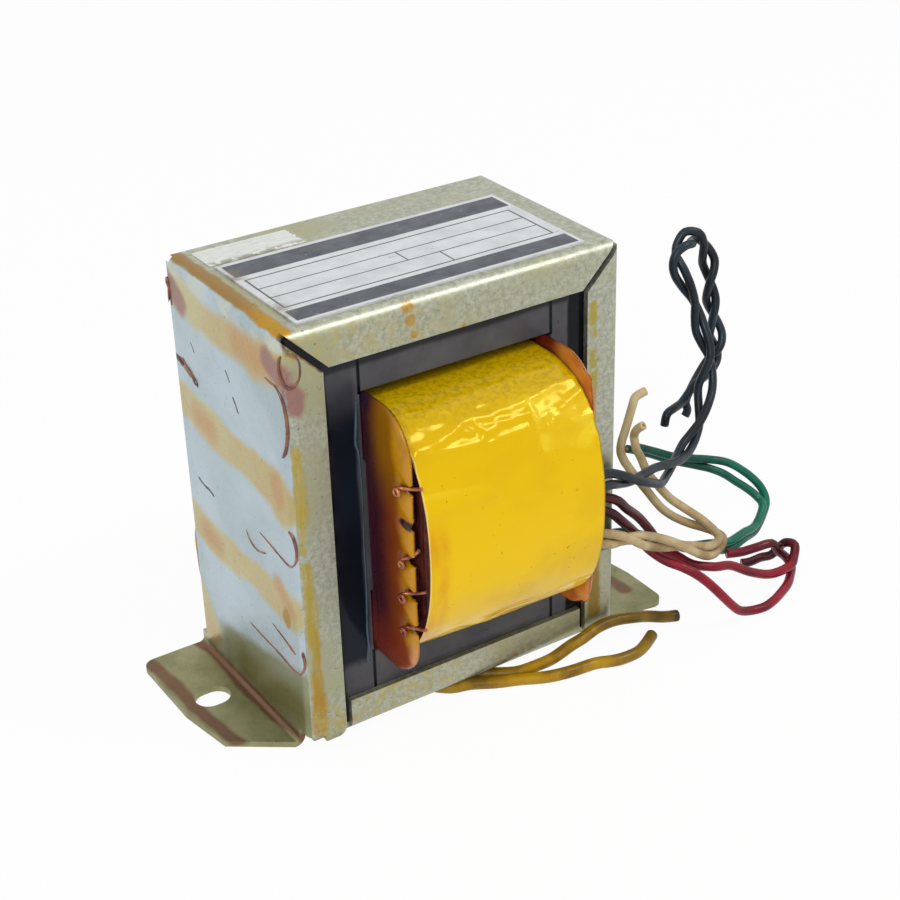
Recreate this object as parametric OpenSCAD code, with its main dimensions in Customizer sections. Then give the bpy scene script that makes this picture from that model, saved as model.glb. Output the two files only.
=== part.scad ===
// Laminated chassis transformer: an EI core in a folded sheet frame with two slotted feet,
// a wound bobbin under yellow tape, and five pairs of cut lead wires.
// The coil axis runs along X, the stack along Y, and the feet stand on z = 0.

/* [Core] */
// Lamination unit: width of an outer limb, and height of a window
limb = 11; // [10:0.5:12]
// Number of laminations in the stack
sheets = 69; // [61:2:73]
// Thickness of one lamination
sheet_t = 0.48; // [0.4:0.01:0.48]
// Varnish film between neighbouring laminations
film_t = 0.02; // [0.02:0.01:0.04]
// Butt joint between the limbs of an E and its I
joint_gap = 0.05; // [0.02:0.01:0.1]

/* [Frame] */
// Thickness of the frame's sheet
metal_t = 1; // [0.8:0.1:1.2]
// Inside radius of every fold
fold_r = 0.8; // [0.5:0.1:1]
// Width of the upright lips beside the coil
side_lip = 6.2; // [5:0.1:8]
// Height of the lip along the top edge
top_lip = 6.4; // [5:0.1:8]
// Radius of the inner corner at the foot of a front lip
lip_r = 1.5; // [0.5:0.1:2.5]
// Width of the open mitre between a side lip and the top lip
mitre_gap = 1; // [0.6:0.1:1.4]
// Height of the bottom channel's lips
channel_lip = 5.6; // [4.5:0.1:7]
// Distance from the frame's side to the end of a bottom lip
channel_inset = 7.2; // [6.5:0.1:9]
// Space under the bottom channel
floor_gap = 2.1; // [2.1:0.1:4]
// Play between the core and each side of the frame
side_play = 0.2; // [0.1:0.05:0.4]
// Play between the core and the lips, and under the top
lip_play = 0.1; // [0.05:0.05:0.3]
// Depth of the corner notch, measured back from the front face
notch_d = 3.9; // [3:0.1:5]
// Width of the corner notch across the front
notch_w = 2.6; // [2:0.1:3.5]
// Height of the corner notch above the ground
notch_h = 3.2; // [2.8:0.1:4]

/* [Feet] */
// Reach of each foot beyond the frame's side
foot_reach = 11.3; // [10:0.1:12]
// How much further the front of the right foot reaches
right_extra = 1.1; // [0:0.1:2]
// How far the right foot's front edge runs forward, out to its corner
right_flare = 1.7; // [0:0.1:2.5]
// How far the left foot's front edge runs back, out to its corner
left_slant = 6.4; // [3:0.1:8]
// Distance of the left foot's front corner inside its reach
left_inset = 1.7; // [0.5:0.1:3]
// Distance from the frame's side to the middle of a slot
slot_out = 5.9; // [5.5:0.1:6.5]
// Distance of the slots behind the frame's middle
slot_back = 3.4; // [0:0.1:6]
// Width of a mounting slot
slot_w = 4.8; // [3.5:0.1:5.2]
// Overall length of a mounting slot, along X
slot_l = 5.8; // [5.4:0.1:6.4]
// Radius of the feet's round corners
foot_r = 2; // [1:0.1:3]

/* [Bobbin] */
// Wall of the bobbin's tube
bobbin_t = 1; // [0.6:0.1:1.4]
// Play of the bobbin round the middle limb
bobbin_play = 0.2; // [0.1:0.05:0.3]
// Thickness of a flange
flange_t = 1.2; // [0.8:0.1:1.4]
// Play of the flanges in the windows
flange_play = 0.2; // [0.1:0.05:0.4]
// Reach of a flange in front of the core
flange_reach = 11.9; // [11:0.1:12.5]
// Corner radius of a flange
flange_r = 7; // [5:0.5:8]
// Number of wire notches in the front edge of the left flange
notches = 5; // [3:1:6]
// Distance from one wire notch to the next
notch_pitch = 5.8; // [4.5:0.1:6]
// Width of a wire notch
wire_notch_w = 1.4; // [1:0.1:2]
// Depth of a wire notch
wire_notch_d = 2.2; // [1.5:0.1:3]
// Diameter of the winding's own wire
magnet_wire_d = 0.6; // [0.4:0.1:0.9]

/* [Winding] */
// Thickness of the primary winding, in the window
primary_t = 3.4; // [2.5:0.1:3.4]
// Thickness of the secondary winding, in the window
secondary_t = 3.4; // [2.5:0.1:3.4]
// Thickness of the insulation between the windings
barrier_t = 0.4; // [0.2:0.1:0.5]
// Thickness of the paper wrap over the secondary
wrap_t = 0.4; // [0.2:0.1:0.5]
// Thickness of the yellow outer tape
tape_t = 0.4; // [0.2:0.1:0.5]
// How much thicker the winding is outside the core than in its windows
bow = 1.7; // [1.4:0.05:1.8]
// Growth of the winding's depth from its left end to its right end
taper = 1.045; // [1:0.005:1.05]
// Tape's distance from the left flange
tape_left = 0.6; // [0.3:0.1:1]
// Tape's distance from the right flange
tape_right = 0.2; // [0.1:0.1:1]
// Thickness of the tape's lapped end
lap_t = 0.15; // [0.1:0.05:0.2]
// Width of the tape's lapped end, along the coil
lap_w = 9; // [5:1:14]

/* [Labels] */
// Length of the nameplate, along X
plate_l = 48.5; // [40:0.1:50]
// Width of the nameplate
plate_w = 24.2; // [18:0.1:26]
// Thickness of the nameplate
plate_t = 0.3; // [0.2:0.1:0.5]
// Distance from the frame's front face to the nameplate
plate_front = 2.2; // [2:0.1:5]
// Distance from the frame's left side to the nameplate
plate_left = 3.7; // [2:0.1:6]
// Length of the paper sticker
sticker_l = 16.5; // [10:0.5:18]
// Width of the paper sticker
sticker_w = 6; // [4:0.5:7]
// Thickness of the paper sticker
sticker_t = 0.12; // [0.1:0.01:0.2]
// Gap between the nameplate's back edge and the sticker
sticker_gap = 1.08; // [0.5:0.01:2]
// Distance from the frame's left side to the sticker
sticker_left = 3.4; // [2:0.1:6]
// Depth of the tear at the sticker's right end
tear = 2; // [0.5:0.1:3]

/* [Leads] */
// Diameter of the black leads
black_d = 1.5; // [1.2:0.1:1.6]
// Diameter of the cream leads
cream_d = 1.5; // [1.2:0.1:1.6]
// Diameter of the green leads
green_d = 1.5; // [1.2:0.1:1.6]
// Diameter of the red leads
red_d = 1.6; // [1.2:0.1:1.7]
// Diameter of the yellow leads
yellow_d = 2; // [1.5:0.1:2]

/* [Hidden] */
$fn = 48;
eps = 0.01;

core_l = 5 * limb;
core_h = 6 * limb;
window_l = 3 * limb;
pitch = sheet_t + film_t;
stack = sheets * pitch - film_t;
frame_w = core_l + 2 * (side_play + metal_t);
frame_d = stack + 2 * (lip_play + metal_t);
core_z = floor_gap + metal_t;
mid_z = core_z + core_h / 2;
frame_h = core_z + core_h + lip_play + metal_t;
outer_r = fold_r + metal_t;
fold_z = fold_r + metal_t;
plate_back = -frame_d / 2 + plate_front + plate_w;

bobbin_l = window_l - flange_play;
tube_y = stack / 2 + bobbin_play + bobbin_t;
tube_z = limb + bobbin_play + bobbin_t;
flange_y = stack / 2 + flange_reach;
flange_z = 2 * limb - flange_play;
winding_l = bobbin_l - 2 * flange_t;
winding_x0 = -winding_l / 2 + tape_left;
winding_x1 = winding_l / 2 - tape_right;
primary_out = primary_t;
barrier_out = primary_out + barrier_t;
secondary_out = barrier_out + secondary_t;
wrap_out = secondary_out + wrap_t;
tape_out = wrap_out + tape_t;

// Pairs: middle of the pair [x, y, z], half the distance of its leads, and their turn in degrees
black_pair = [
  [16.4, -23.5, 33.5, 0.8, 0], [20, -23.5, 33.5, 0.8, 0], [24, -22.5, 33, 0.9, 0],
  [30.5, -20.5, 29.5, 0.8, 90], [38.5, -16.5, 26, 1.35, 180], [45, -13, 24.5, 0.8, 270],
  [50.5, -9.5, 24.5, 0.8, 360], [55, -7.5, 27, 0.8, 450], [58, -5, 31.5, 1.2, 540],
  [59.5, -4, 36.5, 0.85, 630], [59, -2, 41, 0.8, 720], [58.5, -0.5, 46, 0.8, 810],
  [56, 0.5, 51.5, 0.9, 900], [56, 1.5, 54.5, 0.8, 990], [59, 2, 56.5, 1.15, 1080],
  [62, 2.5, 55, 0.9, 1170], [64, 2.5, 51, 1.05, 1260], [64, 2, 47.5, 0.8, 1350], [64.5, 2, 44, 0.8, 1440],
  [65, 2, 41, 0.8, 1530], [66, 2, 37, 1.05, 1620], [66, 1.5, 34, 0.9, 1710], [64.5, 1.5, 31.5, 0.8, 1800],
  [59, -0.5, 29.5, 0.8, 1890]
];
black_end_a = [
  [56, -1.5, 28], [53.5, -2.5, 28], [51, -3.5, 28], [50.5, -3.5, 26]
];
black_end_b = [
  [58.5, 0.5, 26.5], [58.5, 0, 25], [58, 0, 24]
];
cream_pair = [
  [16.4, -24.5, 24.5, 0.8, 0], [20, -24.5, 24.5, 0.8, 0], [23.5, -24, 23, 0.85, 20],
  [27.5, -24, 21.5, 0.85, 110], [31.5, -23.5, 19.5, 0.8, 180], [36, -23, 17, 0.85, 230],
  [40.5, -22.5, 14.5, 0.8, 290], [45, -22, 12, 0.8, 350], [49, -20, 10.5, 0.8, 400],
  [51, -18.5, 11, 0.85, 430], [49.5, -16, 12.5, 0.85, 480], [48, -14.5, 13.5, 0.9, 520],
  [46, -13, 15, 1.1, 540], [44.5, -11.5, 16.5, 1.1, 540], [43, -10, 19, 1, 540],
  [41.5, -9, 21.5, 1, 540], [40.5, -8, 24, 1.3, 540], [39.5, -7.5, 26.5, 1.3, 540],
  [40, -7, 29, 0.85, 540]
];
cream_end_a = [
  [40, -6.5, 31], [40.5, -6.5, 32.5], [41, -6.5, 34], [42, -6, 35], [44, -6, 35.5]
];
cream_end_b = [
  [40.5, -8.5, 30.5], [41, -9.5, 31.5]
];
green_pair = [
  [16.4, -21, 21.5, 0.8, 0], [20, -21, 21.5, 0.8, 0], [26, -20.5, 20.5, 0.8, 10], [30.5, -19, 18.5, 0.8, 30],
  [36.5, -16, 14.5, 0.8, 60], [42, -15.5, 11.5, 0.8, 80], [46.5, -15.5, 9, 0.8, 70],
  [51, -15.5, 7.5, 0.8, 50], [55.5, -15.5, 6, 0.8, 40], [60.5, -14, 5.5, 0.8, 50],
  [64.5, -12.5, 5, 0.8, 65],
  [68, -10.5, 6.5, 0.85, 70], [69, -9, 8, 0.85, 40], [68, -7.5, 10, 1, 10], [66, -6, 12, 1.15, 0],
  [63.5, -5, 14, 1.05, 0], [61, -3.5, 15, 0.8, -20], [58, -2.5, 16, 0.8, -50],
  [54, -1.5, 17.5, 0.8, -65], [51, -0.5, 19, 0.8, -70], [48, 0, 20.5, 0.8, -70],
  [46, 0, 21.5, 0.8, -70]
];
// Leads that run by themselves
red_a_route = [
  [16.4, -20.5, 30.5], [20, -20.5, 30.5], [26, -21, 28], [29, -20.5, 25], [32.5, -19.5, 21.5],
  [35.5, -19, 17.5], [37.5, -19.5, 14], [39.5, -20.5, 12.5], [42, -22, 10.5], [45.5, -23.5, 9.5],
  [49, -23.5, 8.5], [53, -24, 6], [57, -24, 4], [60, -24, 3.5], [63, -23.5, 3.5],
  [64.5, -22.5, 4], [65.5, -21.5, 5.5], [65, -20, 5.5], [65, -18.5, 4], [63.5, -18, 2.5], [62, -17, 2],
  [59.5, -17, 2], [58, -16.5, 2]
];
red_b_route = [
  [16.4, -20.5, 28.5], [20, -20.5, 28.5], [25, -21, 26], [27.5, -21.5, 23.5], [31, -21, 19.5],
  [34, -20, 15.5], [36, -22, 13.5], [38, -24, 12.5], [39.5, -25.5, 11.5], [41.5, -26.5, 9.5],
  [43.5, -27.5, 7], [45.5, -28, 4.5], [47.5, -28, 2.5], [50, -28, 1.5], [52.5, -28.5, 1.5],
  [55, -28, 1.5], [57.5, -27, 1.5], [60.5, -25.5, 1.5], [63, -23.5, 1.5], [64.5, -22, 2],
  [64.5, -20.5, 3], [62.5, -20.5, 5], [61, -20.5, 7], [58, -20, 7], [55.5, -19, 6.5], [53, -18, 6.5]
];
yellow_a_route = [
  [-16.4, 24.5, 24], [-19.5, 24.5, 24], [-22, 25, 22.5], [-23.5, 25.5, 19.5], [-24, 26, 16],
  [-24, 26, 12], [-24, 25.5, 8], [-23.5, 25, 5], [-22, 23.5, 2.5], [-20, 21, 1.05],
  [-17.5, 17.5, 1.05], [-16, 14, 1.05], [-14.5, 9, 1.05], [-13, 4, 1.05], [-11, -1, 1.05],
  [-9, -6, 1.05], [-7, -10.5, 1.05], [-5, -14, 1.05], [-2.5, -16.5, 1.05], [0.5, -17.5, 1.05],
  [4, -19.5, 1.05], [7.5, -21, 1.05], [11.5, -23, 1.05], [15.5, -24, 1.05], [20, -24.5, 1.05],
  [22.5, -25.5, 1.05], [24.5, -26, 1.05], [27.5, -26, 1.05], [30, -25, 1.05], [32.5, -23.5, 1.05]
];
yellow_b_route = [
  [-16.4, 21.5, 24], [-18.5, 21.5, 24], [-20, 22, 22.5], [-21, 22.5, 19.5], [-21.5, 22.5, 16],
  [-21.5, 22.5, 12], [-21.5, 22, 8], [-20, 21.5, 5], [-17.5, 20.5, 2.5], [-15, 19, 1.05],
  [-13.5, 16.5, 1.05], [-12.5, 13, 1.05], [-12, 8.5, 1.05], [-10.5, 3.5, 1.05], [-8.5, -1.5, 1.05],
  [-6, -6.5, 1.05], [-3.5, -10.5, 1.05], [-1, -13.5, 1.05], [1.5, -15, 1.05], [4, -16.5, 1.05],
  [8, -19, 1.05], [11, -20, 1.5], [14.5, -20.5, 2], [18, -20.5, 3], [20.5, -20.5, 3.5],
  [24, -20, 4], [27.5, -20, 4], [31, -20.5, 3.5], [34, -20.5, 2.5], [37, -21, 1.5], [39.5, -21.5, 1.05]
];

// Points of an arc from angle a0 to a1
function arc(cx, cy, r, a0, a1, n = 8) =
  [for (i = [0:n]) [cx + r * cos(a0 + (a1 - a0) * i / n), cy + r * sin(a0 + (a1 - a0) * i / n)]];

// Rectangle of half sizes hx and hy with round corners, as exact arcs
module round_rect(hx, hy, r) {
  square([2 * (hx - r), 2 * hy], center = true);
  square([2 * hx, 2 * (hy - r)], center = true);
  for (sx = [-1, 1], sy = [-1, 1])
    translate([sx * (hx - r), sy * (hy - r)]) circle(r);
}

// Extrusion along X of a section drawn in (y, z)
module along_x(x0, x1)
  translate([x0, 0, 0]) rotate([90, 0, 90]) linear_extrude(x1 - x0) children();

// Extrusion along Y of a section drawn in (x, z)
module along_y(y0, y1)
  translate([0, y1, 0]) rotate([90, 0, 0]) linear_extrude(y1 - y0) children();

// Block with folds of radius r round its top and its upright edges, from z0 up to z1
module folded_block(hx, hy, z0, z1, r) {
  drop = z1;
  intersection() {
    translate([0, 0, z0]) linear_extrude(z1 - z0) round_rect(hx, hy, r);
    along_x(-hx, hx) round_rect(hy, drop, r);
    along_y(-hy, hy) round_rect(hx, drop, r);
  }
}

// Outline of a foot, from the frame's side outwards. The front edge of the left one slants back,
// and the right one flares out to a round corner.
module foot_outline(left) {
  hw = frame_w / 2;
  front = -frame_d / 2 + notch_d;
  back = frame_d / 2;
  out = foot_reach;
  wide = out + right_extra;
  corner = left
    ? [[out - left_inset, front + left_slant]]
    : concat(
        arc(wide - foot_r, front - right_flare + foot_r, foot_r, -90, 0),
        [[wide, front + 0.25 * (back - front)]]
      );
  translate([hw, 0]) polygon(concat(
    [[-outer_r, front], [fold_r, front]], corner,
    [[out, front + 0.5 * (back - front)]],
    arc(out - foot_r, back - foot_r, foot_r, 0, 90),
    [[-outer_r, back]]
  ));
}

// One foot on the right: folded strip, cut to its outline and slotted
module foot(left) {
  hw = frame_w / 2;
  difference() {
    intersection() {
      along_y(-frame_d / 2, frame_d / 2) translate([hw, 0]) {
        difference() {
          translate([-metal_t, 0]) square([metal_t + fold_r, fold_z]);
          translate([fold_r, fold_z]) circle(fold_r);
          difference() {
            translate([-metal_t - eps, -eps]) square([outer_r + eps, outer_r + eps]);
            translate([fold_r, fold_z]) circle(outer_r);
          }
        }
        translate([fold_r, 0]) square([foot_reach + right_extra - fold_r, metal_t]);
      }
      linear_extrude(fold_z) foot_outline(left);
    }
    for (dx = [-1, 1])
      translate([hw + slot_out + dx * (slot_l - slot_w) / 2, slot_back, -metal_t])
        cylinder(d = slot_w, h = 3 * metal_t);
    translate([hw + slot_out - (slot_l - slot_w) / 2, slot_back - slot_w / 2, -metal_t])
      cube([slot_l - slot_w, slot_w, 3 * metal_t]);
  }
}

module bracket() {
  hw = frame_w / 2;
  hd = frame_d / 2;
  color([0.62, 0.63, 0.58]) union() {
    difference() {
      folded_block(hw, hd, fold_z, frame_h, outer_r);
      folded_block(hw - metal_t, hd - metal_t, 0, frame_h - metal_t, fold_r);
      // Openings that leave the front and back lips
      translate([-hw + side_lip, -hd - 1, 0])
        cube([frame_w - 2 * side_lip, frame_d + 2, frame_h - top_lip]);
      for (sx = [-1, 1]) {
        // Mitres from the inner corners of the lips out to the frame's corners
        for (sy = [-1, 1])
          translate([sx * hw, sy * hd, frame_h])
            rotate([0, sx * 45, 0])
              cube([mitre_gap, 2 * outer_r, 4 * side_lip], center = true);
        // Notch at the front, where the foot's fold starts
        translate([sx * (hw - notch_w / 2), -hd, 0])
          cube([notch_w * (1 + eps), 2 * notch_d, 2 * notch_h], center = true);
        // The front lip ends level with the bottom channel, and the back lip above the foot's fold
        translate([sx * (hw - side_lip / 2), -hd, 0])
          cube([side_lip * (1 + eps), 2 * outer_r, 2 * floor_gap], center = true);
        translate([sx * (hw - side_lip / 2), hd, 0])
          cube([side_lip * (1 + eps), 2 * outer_r, 2 * notch_h], center = true);
        // Round inner corner at the foot of a front lip
        translate([sx * (hw - side_lip), -hd, floor_gap])
          rotate([90, 0, 0]) difference() {
            cube([2 * lip_r, 2 * lip_r, 3 * metal_t], center = true);
            translate([sx * lip_r, lip_r, 0]) cylinder(r = lip_r, h = 4 * metal_t, center = true);
          }
      }
    }
    for (sx = [-1, 1])
      translate([sx * (hw - metal_t / 2), hd - outer_r / 2, (fold_z + notch_h) / 2])
        cube([metal_t, outer_r, notch_h - fold_z], center = true);
    foot(false);
    mirror([1, 0, 0]) foot(true);
  }
}

module bottom_channel() {
  hw = frame_w / 2;
  hd = frame_d / 2;
  color([0.6, 0.61, 0.55]) union() {
    along_x(-hw + channel_inset, hw - channel_inset) translate([0, floor_gap]) difference() {
      intersection() {
        translate([-hd, 0]) square([frame_d, channel_lip]);
        round_rect_lower(hd, outer_r);
      }
      intersection() {
        translate([-hd + metal_t, metal_t]) square([frame_d - 2 * metal_t, channel_lip]);
        translate([0, metal_t]) round_rect_lower(hd - metal_t, fold_r);
      }
    }
    translate([-hw + metal_t, -hd + metal_t + lip_play, floor_gap])
      cube([frame_w - 2 * metal_t, frame_d - 2 * (metal_t + lip_play), metal_t]);
  }
}

// Half plane above y = 0 and within hx, with its lower corners rounded
module round_rect_lower(hx, r) {
  translate([0, 2 * channel_lip]) round_rect(hx, 2 * channel_lip, r);
}

// E-shaped lamination, back to the right, drawn in (x, z)
module e_shape() {
  difference() {
    translate([-core_l / 2 + limb + joint_gap, core_z]) square([core_l - limb - joint_gap, core_h]);
    for (z0 = [core_z + limb, core_z + 4 * limb])
      translate([-core_l / 2, z0]) square([limb + window_l, limb]);
  }
}

// Closing strip of a lamination, at the left
module i_shape()
  translate([-core_l / 2, core_z]) square([limb, core_h]);

// The stack: every other lamination is turned end for end
module lamination_stack()
  for (i = [0:sheets - 1])
    mirror([i % 2, 0, 0])
      along_y(-stack / 2 + i * pitch, -stack / 2 + i * pitch + sheet_t) children();

module e_laminations() color([0.05, 0.055, 0.075]) lamination_stack() e_shape();

module i_laminations() color([0.07, 0.07, 0.09]) lamination_stack() i_shape();

module bobbin() {
  color([0.62, 0.28, 0.07]) difference() {
    union() {
      translate([-bobbin_l / 2, -tube_y, mid_z - tube_z]) cube([bobbin_l, 2 * tube_y, 2 * tube_z]);
      for (x0 = [-bobbin_l / 2, bobbin_l / 2 - flange_t])
        translate([0, 0, mid_z]) along_x(x0, x0 + flange_t) round_rect(flange_y, flange_z, flange_r);
    }
    translate([-bobbin_l, -tube_y + bobbin_t, mid_z - tube_z + bobbin_t])
      cube([2 * bobbin_l, 2 * (tube_y - bobbin_t), 2 * (tube_z - bobbin_t)]);
    for (i = [0:notches - 1])
      translate([-bobbin_l / 2 - 1, -flange_y - 1, notch_z(i) - wire_notch_w / 2]) {
        cube([flange_t + 2, 1 + wire_notch_d - wire_notch_w / 2, wire_notch_w]);
        translate([0, 1 + wire_notch_d - wire_notch_w / 2, wire_notch_w / 2])
          rotate([0, 90, 0]) cylinder(d = wire_notch_w, h = flange_t + 2);
      }
  }
}

// Height of the middle of wire notch i, counted from the top
function notch_z(i) = mid_z + ((notches - 1) / 2 - i) * notch_pitch - 0.5;

// Outline of the winding at a depth of c over the bobbin, in (y, z) about the coil's axis
function coil_outline(c, n = 14, p = 2 / 2.3) = [
  for (q = [0:3], i = [0:n - 1])
    let (a = 90 * (q + i / n), cy = cos(a), cz = sin(a), side = (stack / 2) * sign_of(q))
    [side + (tube_y - stack / 2 + bow * c) * signed_pow(cy, p), (tube_z + c) * signed_pow(cz, p)]
];
function sign_of(q) = (q == 0 || q == 3) ? 1 : -1;
function signed_pow(v, p) = v < 0 ? -pow(-v, p) : pow(v, p);

// Solid winding out to a depth of c, deeper at its right end
module coil_body(c, x0, x1)
  translate([x0, 0, mid_z]) rotate([90, 0, 90])
    linear_extrude(x1 - x0, scale = [taper, 1], slices = 1) polygon(coil_outline(c));

// One layer of the coil, between the depths c0 and c1
module coil_layer(c0, c1) difference() {
  coil_body(c1, winding_x0, winding_x1);
  coil_body(c0, winding_x0, winding_x1);
}

module primary_winding() color([0.45, 0.16, 0.07]) difference() {
  coil_body(primary_out, winding_x0, winding_x1);
  translate([-window_l, -tube_y, mid_z - tube_z]) cube([2 * window_l, 2 * tube_y, 2 * tube_z]);
}

module winding_barrier() color([0.75, 0.62, 0.35]) coil_layer(primary_out, barrier_out);

module secondary_winding() color([0.4, 0.13, 0.06]) coil_layer(barrier_out, secondary_out);

module paper_wrap() color([0.35, 0.14, 0.06]) coil_layer(secondary_out, wrap_out);

module outer_tape() color([0.95, 0.76, 0.05]) coil_layer(wrap_out, tape_out);

// End of the tape, lapped over the front near the right flange
module tape_lap() color([0.97, 0.8, 0.1]) intersection() {
  difference() {
    coil_body(tape_out + lap_t, winding_x0, winding_x1);
    coil_body(tape_out, winding_x0, winding_x1);
  }
  translate([winding_x1 - lap_w, -2 * flange_y, mid_z + limb])
    cube([lap_w, 2 * flange_y - stack / 2, limb]);
}

// Tube of diameter d through points, with a ring square to the line at each point
function unit(v) = v / norm(v);
function way(p, i) = unit(p[min(i + 1, len(p) - 1)] - p[max(i - 1, 0)]);
function carry(p, sides_at, i = 0, u = [0, 0, 1]) =
  i == len(p) ? sides_at :
  let (t = way(p, i), v = unit(u - (u * t) * t)) carry(p, concat(sides_at, [v]), i + 1, v);
function start_side(p) = let (t = way(p, 0)) abs(t[2]) > 0.9 ? [1, 0, 0] : [0, 0, 1];
module tube(p, d, sides = 8) {
  u = carry(p, [], 0, start_side(p));
  rings = [for (i = [0:len(p) - 1]) let (v = cross(way(p, i), u[i])) for (k = [0:sides - 1])
    p[i] + d / 2 * (cos(360 * k / sides) * u[i] + sin(360 * k / sides) * v)];
  last = (len(p) - 1) * sides;
  walls = [for (i = [0:len(p) - 2], k = [0:sides - 1])
    [i * sides + k, i * sides + (k + 1) % sides, (i + 1) * sides + (k + 1) % sides, (i + 1) * sides + k]];
  ends = [[for (k = [sides - 1:-1:0]) k], [for (k = [0:sides - 1]) last + k]];
  polyhedron(rings, concat(walls, ends), convexity = 6);
}

// Smooth line through rows p, with n steps from one row to the next
function blend(a, b, c, d, t) = 0.5 * (2 * b + (c - a) * t + (2 * a - 5 * b + 4 * c - d) * t * t
  + (3 * b - a - 3 * c + d) * t * t * t);
function smooth(p, n = 2) = concat(
  [for (i = [0:len(p) - 2], k = [0:n - 1])
    blend(p[max(i - 1, 0)], p[i], p[i + 1], p[min(i + 2, len(p) - 1)], k / n)],
  [p[len(p) - 1]]
);

// One lead of a pair, on side 1 or -1 of the pair's smooth middle line
pair_normal = [0.5, 0.7, -0.5];
function middle(row) = [row[0], row[1], row[2]];
function lead_of(pair, side) =
  let (rows = smooth(pair), mid = [for (row = rows) middle(row)])
  [for (i = [0:len(rows) - 1])
    let (t = way(mid, i), u = unit(cross(pair_normal, t)), v = cross(t, u), turn = rows[i][4])
    mid[i] + side * rows[i][3] * (cos(turn) * u + sin(turn) * v)];

module black_lead_a() color([0.09, 0.12, 0.15]) tube(concat(lead_of(black_pair, -1), black_end_a), black_d);
module black_lead_b() color([0.09, 0.12, 0.15]) tube(concat(lead_of(black_pair, 1), black_end_b), black_d);
module cream_lead_a() color([0.85, 0.75, 0.58]) tube(concat(lead_of(cream_pair, 1), cream_end_a), cream_d);
module cream_lead_b() color([0.85, 0.75, 0.58]) tube(concat(lead_of(cream_pair, -1), cream_end_b), cream_d);
module green_lead_a() color([0.05, 0.42, 0.34]) tube(lead_of(green_pair, 1), green_d);
module green_lead_b() color([0.05, 0.42, 0.34]) tube(lead_of(green_pair, -1), green_d);
module red_lead_a() color([0.55, 0.07, 0.12]) tube(red_a_route, red_d);
module red_lead_b() color([0.55, 0.07, 0.12]) tube(red_b_route, red_d);
module yellow_lead_a() color([0.75, 0.56, 0.12]) tube(yellow_a_route, yellow_d);
module yellow_lead_b() color([0.75, 0.56, 0.12]) tube(yellow_b_route, yellow_d);

// Winding ends: from outside the left flange, through a notch and in to the tape's edge
module magnet_wires() color([0.72, 0.33, 0.13])
  for (i = [0:notches - 1]) if (i != 1) {
    d = magnet_wire_d;
    z = notch_z(i);
    y = -flange_y + wire_notch_d - 0.7 * d;
    face = -bobbin_l / 2;
    end = winding_x0 - 0.58 * d;
    tube([
      [face - 0.8 * d, y + d, z - 1.5 * d], [face - 0.7 * d, y + 0.2 * d, z - 0.5 * d],
      [face + 0.3 * d, y, z], [face + flange_t, y, z],
      [end, y - 0.7 * d, z + 0.7 * d], [end, y - 2.3 * d, z + 1.5 * d]
    ], d);
  }

module nameplate() color([0.8, 0.81, 0.8])
  translate([-frame_w / 2 + plate_left, -frame_d / 2 + plate_front, frame_h])
    cube([plate_l, plate_w, plate_t]);

// Paper sticker with a torn right end, behind the nameplate
module sticker() {
  l = sticker_l;
  w = sticker_w;
  color([0.93, 0.93, 0.9])
    translate([-frame_w / 2 + sticker_left, plate_back + sticker_gap, frame_h])
      linear_extrude(sticker_t) polygon([
        [0, 0], [l - 0.75 * tear, 0], [l, 0.25 * w], [l - 0.5 * tear, 0.5 * w],
        [l - 0.2 * tear, 0.8 * w], [l - tear, w], [0, w]
      ]);
}

bracket();
bottom_channel();
e_laminations();
i_laminations();
bobbin();
primary_winding();
winding_barrier();
secondary_winding();
paper_wrap();
outer_tape();
tape_lap();
magnet_wires();
nameplate();
sticker();
black_lead_a();
black_lead_b();
cream_lead_a();
cream_lead_b();
green_lead_a();
green_lead_b();
red_lead_a();
red_lead_b();
yellow_lead_a();
yellow_lead_b();
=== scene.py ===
import math

import bmesh
import bpy
import numpy as np
from mathutils import Matrix, Vector, noise


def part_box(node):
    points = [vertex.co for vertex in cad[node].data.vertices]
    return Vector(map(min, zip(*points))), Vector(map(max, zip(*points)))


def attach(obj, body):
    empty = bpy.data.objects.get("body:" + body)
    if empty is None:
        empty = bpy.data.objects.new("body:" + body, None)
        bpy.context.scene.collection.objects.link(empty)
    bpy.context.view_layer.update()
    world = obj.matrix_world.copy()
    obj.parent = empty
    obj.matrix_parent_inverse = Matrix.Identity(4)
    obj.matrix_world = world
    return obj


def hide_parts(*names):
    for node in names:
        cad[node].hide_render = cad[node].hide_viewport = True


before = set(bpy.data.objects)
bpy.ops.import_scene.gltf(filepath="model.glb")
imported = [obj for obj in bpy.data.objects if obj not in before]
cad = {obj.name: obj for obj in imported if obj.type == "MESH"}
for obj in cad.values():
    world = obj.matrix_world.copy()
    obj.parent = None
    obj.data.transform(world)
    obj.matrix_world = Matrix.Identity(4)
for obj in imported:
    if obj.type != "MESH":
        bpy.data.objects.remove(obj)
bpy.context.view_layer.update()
mm = 0.001


# Camera: stands in front of the left foot and looks down on the coil, as one looks
# at a part on a bench.
def linked(name, data):
    made = bpy.data.objects.new(name, data)
    bpy.context.scene.collection.objects.link(made)
    return made


sight = bpy.data.cameras.new("camera")
sight.sensor_width = 36
sight.lens = 72.05
camera = linked("camera", sight)
camera.matrix_world = (
    Matrix.Translation((-0.12607, -0.21361, 0.17118))
    @ Matrix.Rotation(math.radians(-32.332), 4, "Z")
    @ Matrix.Rotation(math.radians(90 - 28.674), 4, "X")
    @ Matrix.Rotation(math.radians(-1.775), 4, "Z")
)
bpy.context.scene.camera = camera
bpy.context.scene.view_settings.view_transform = "Standard"


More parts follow.
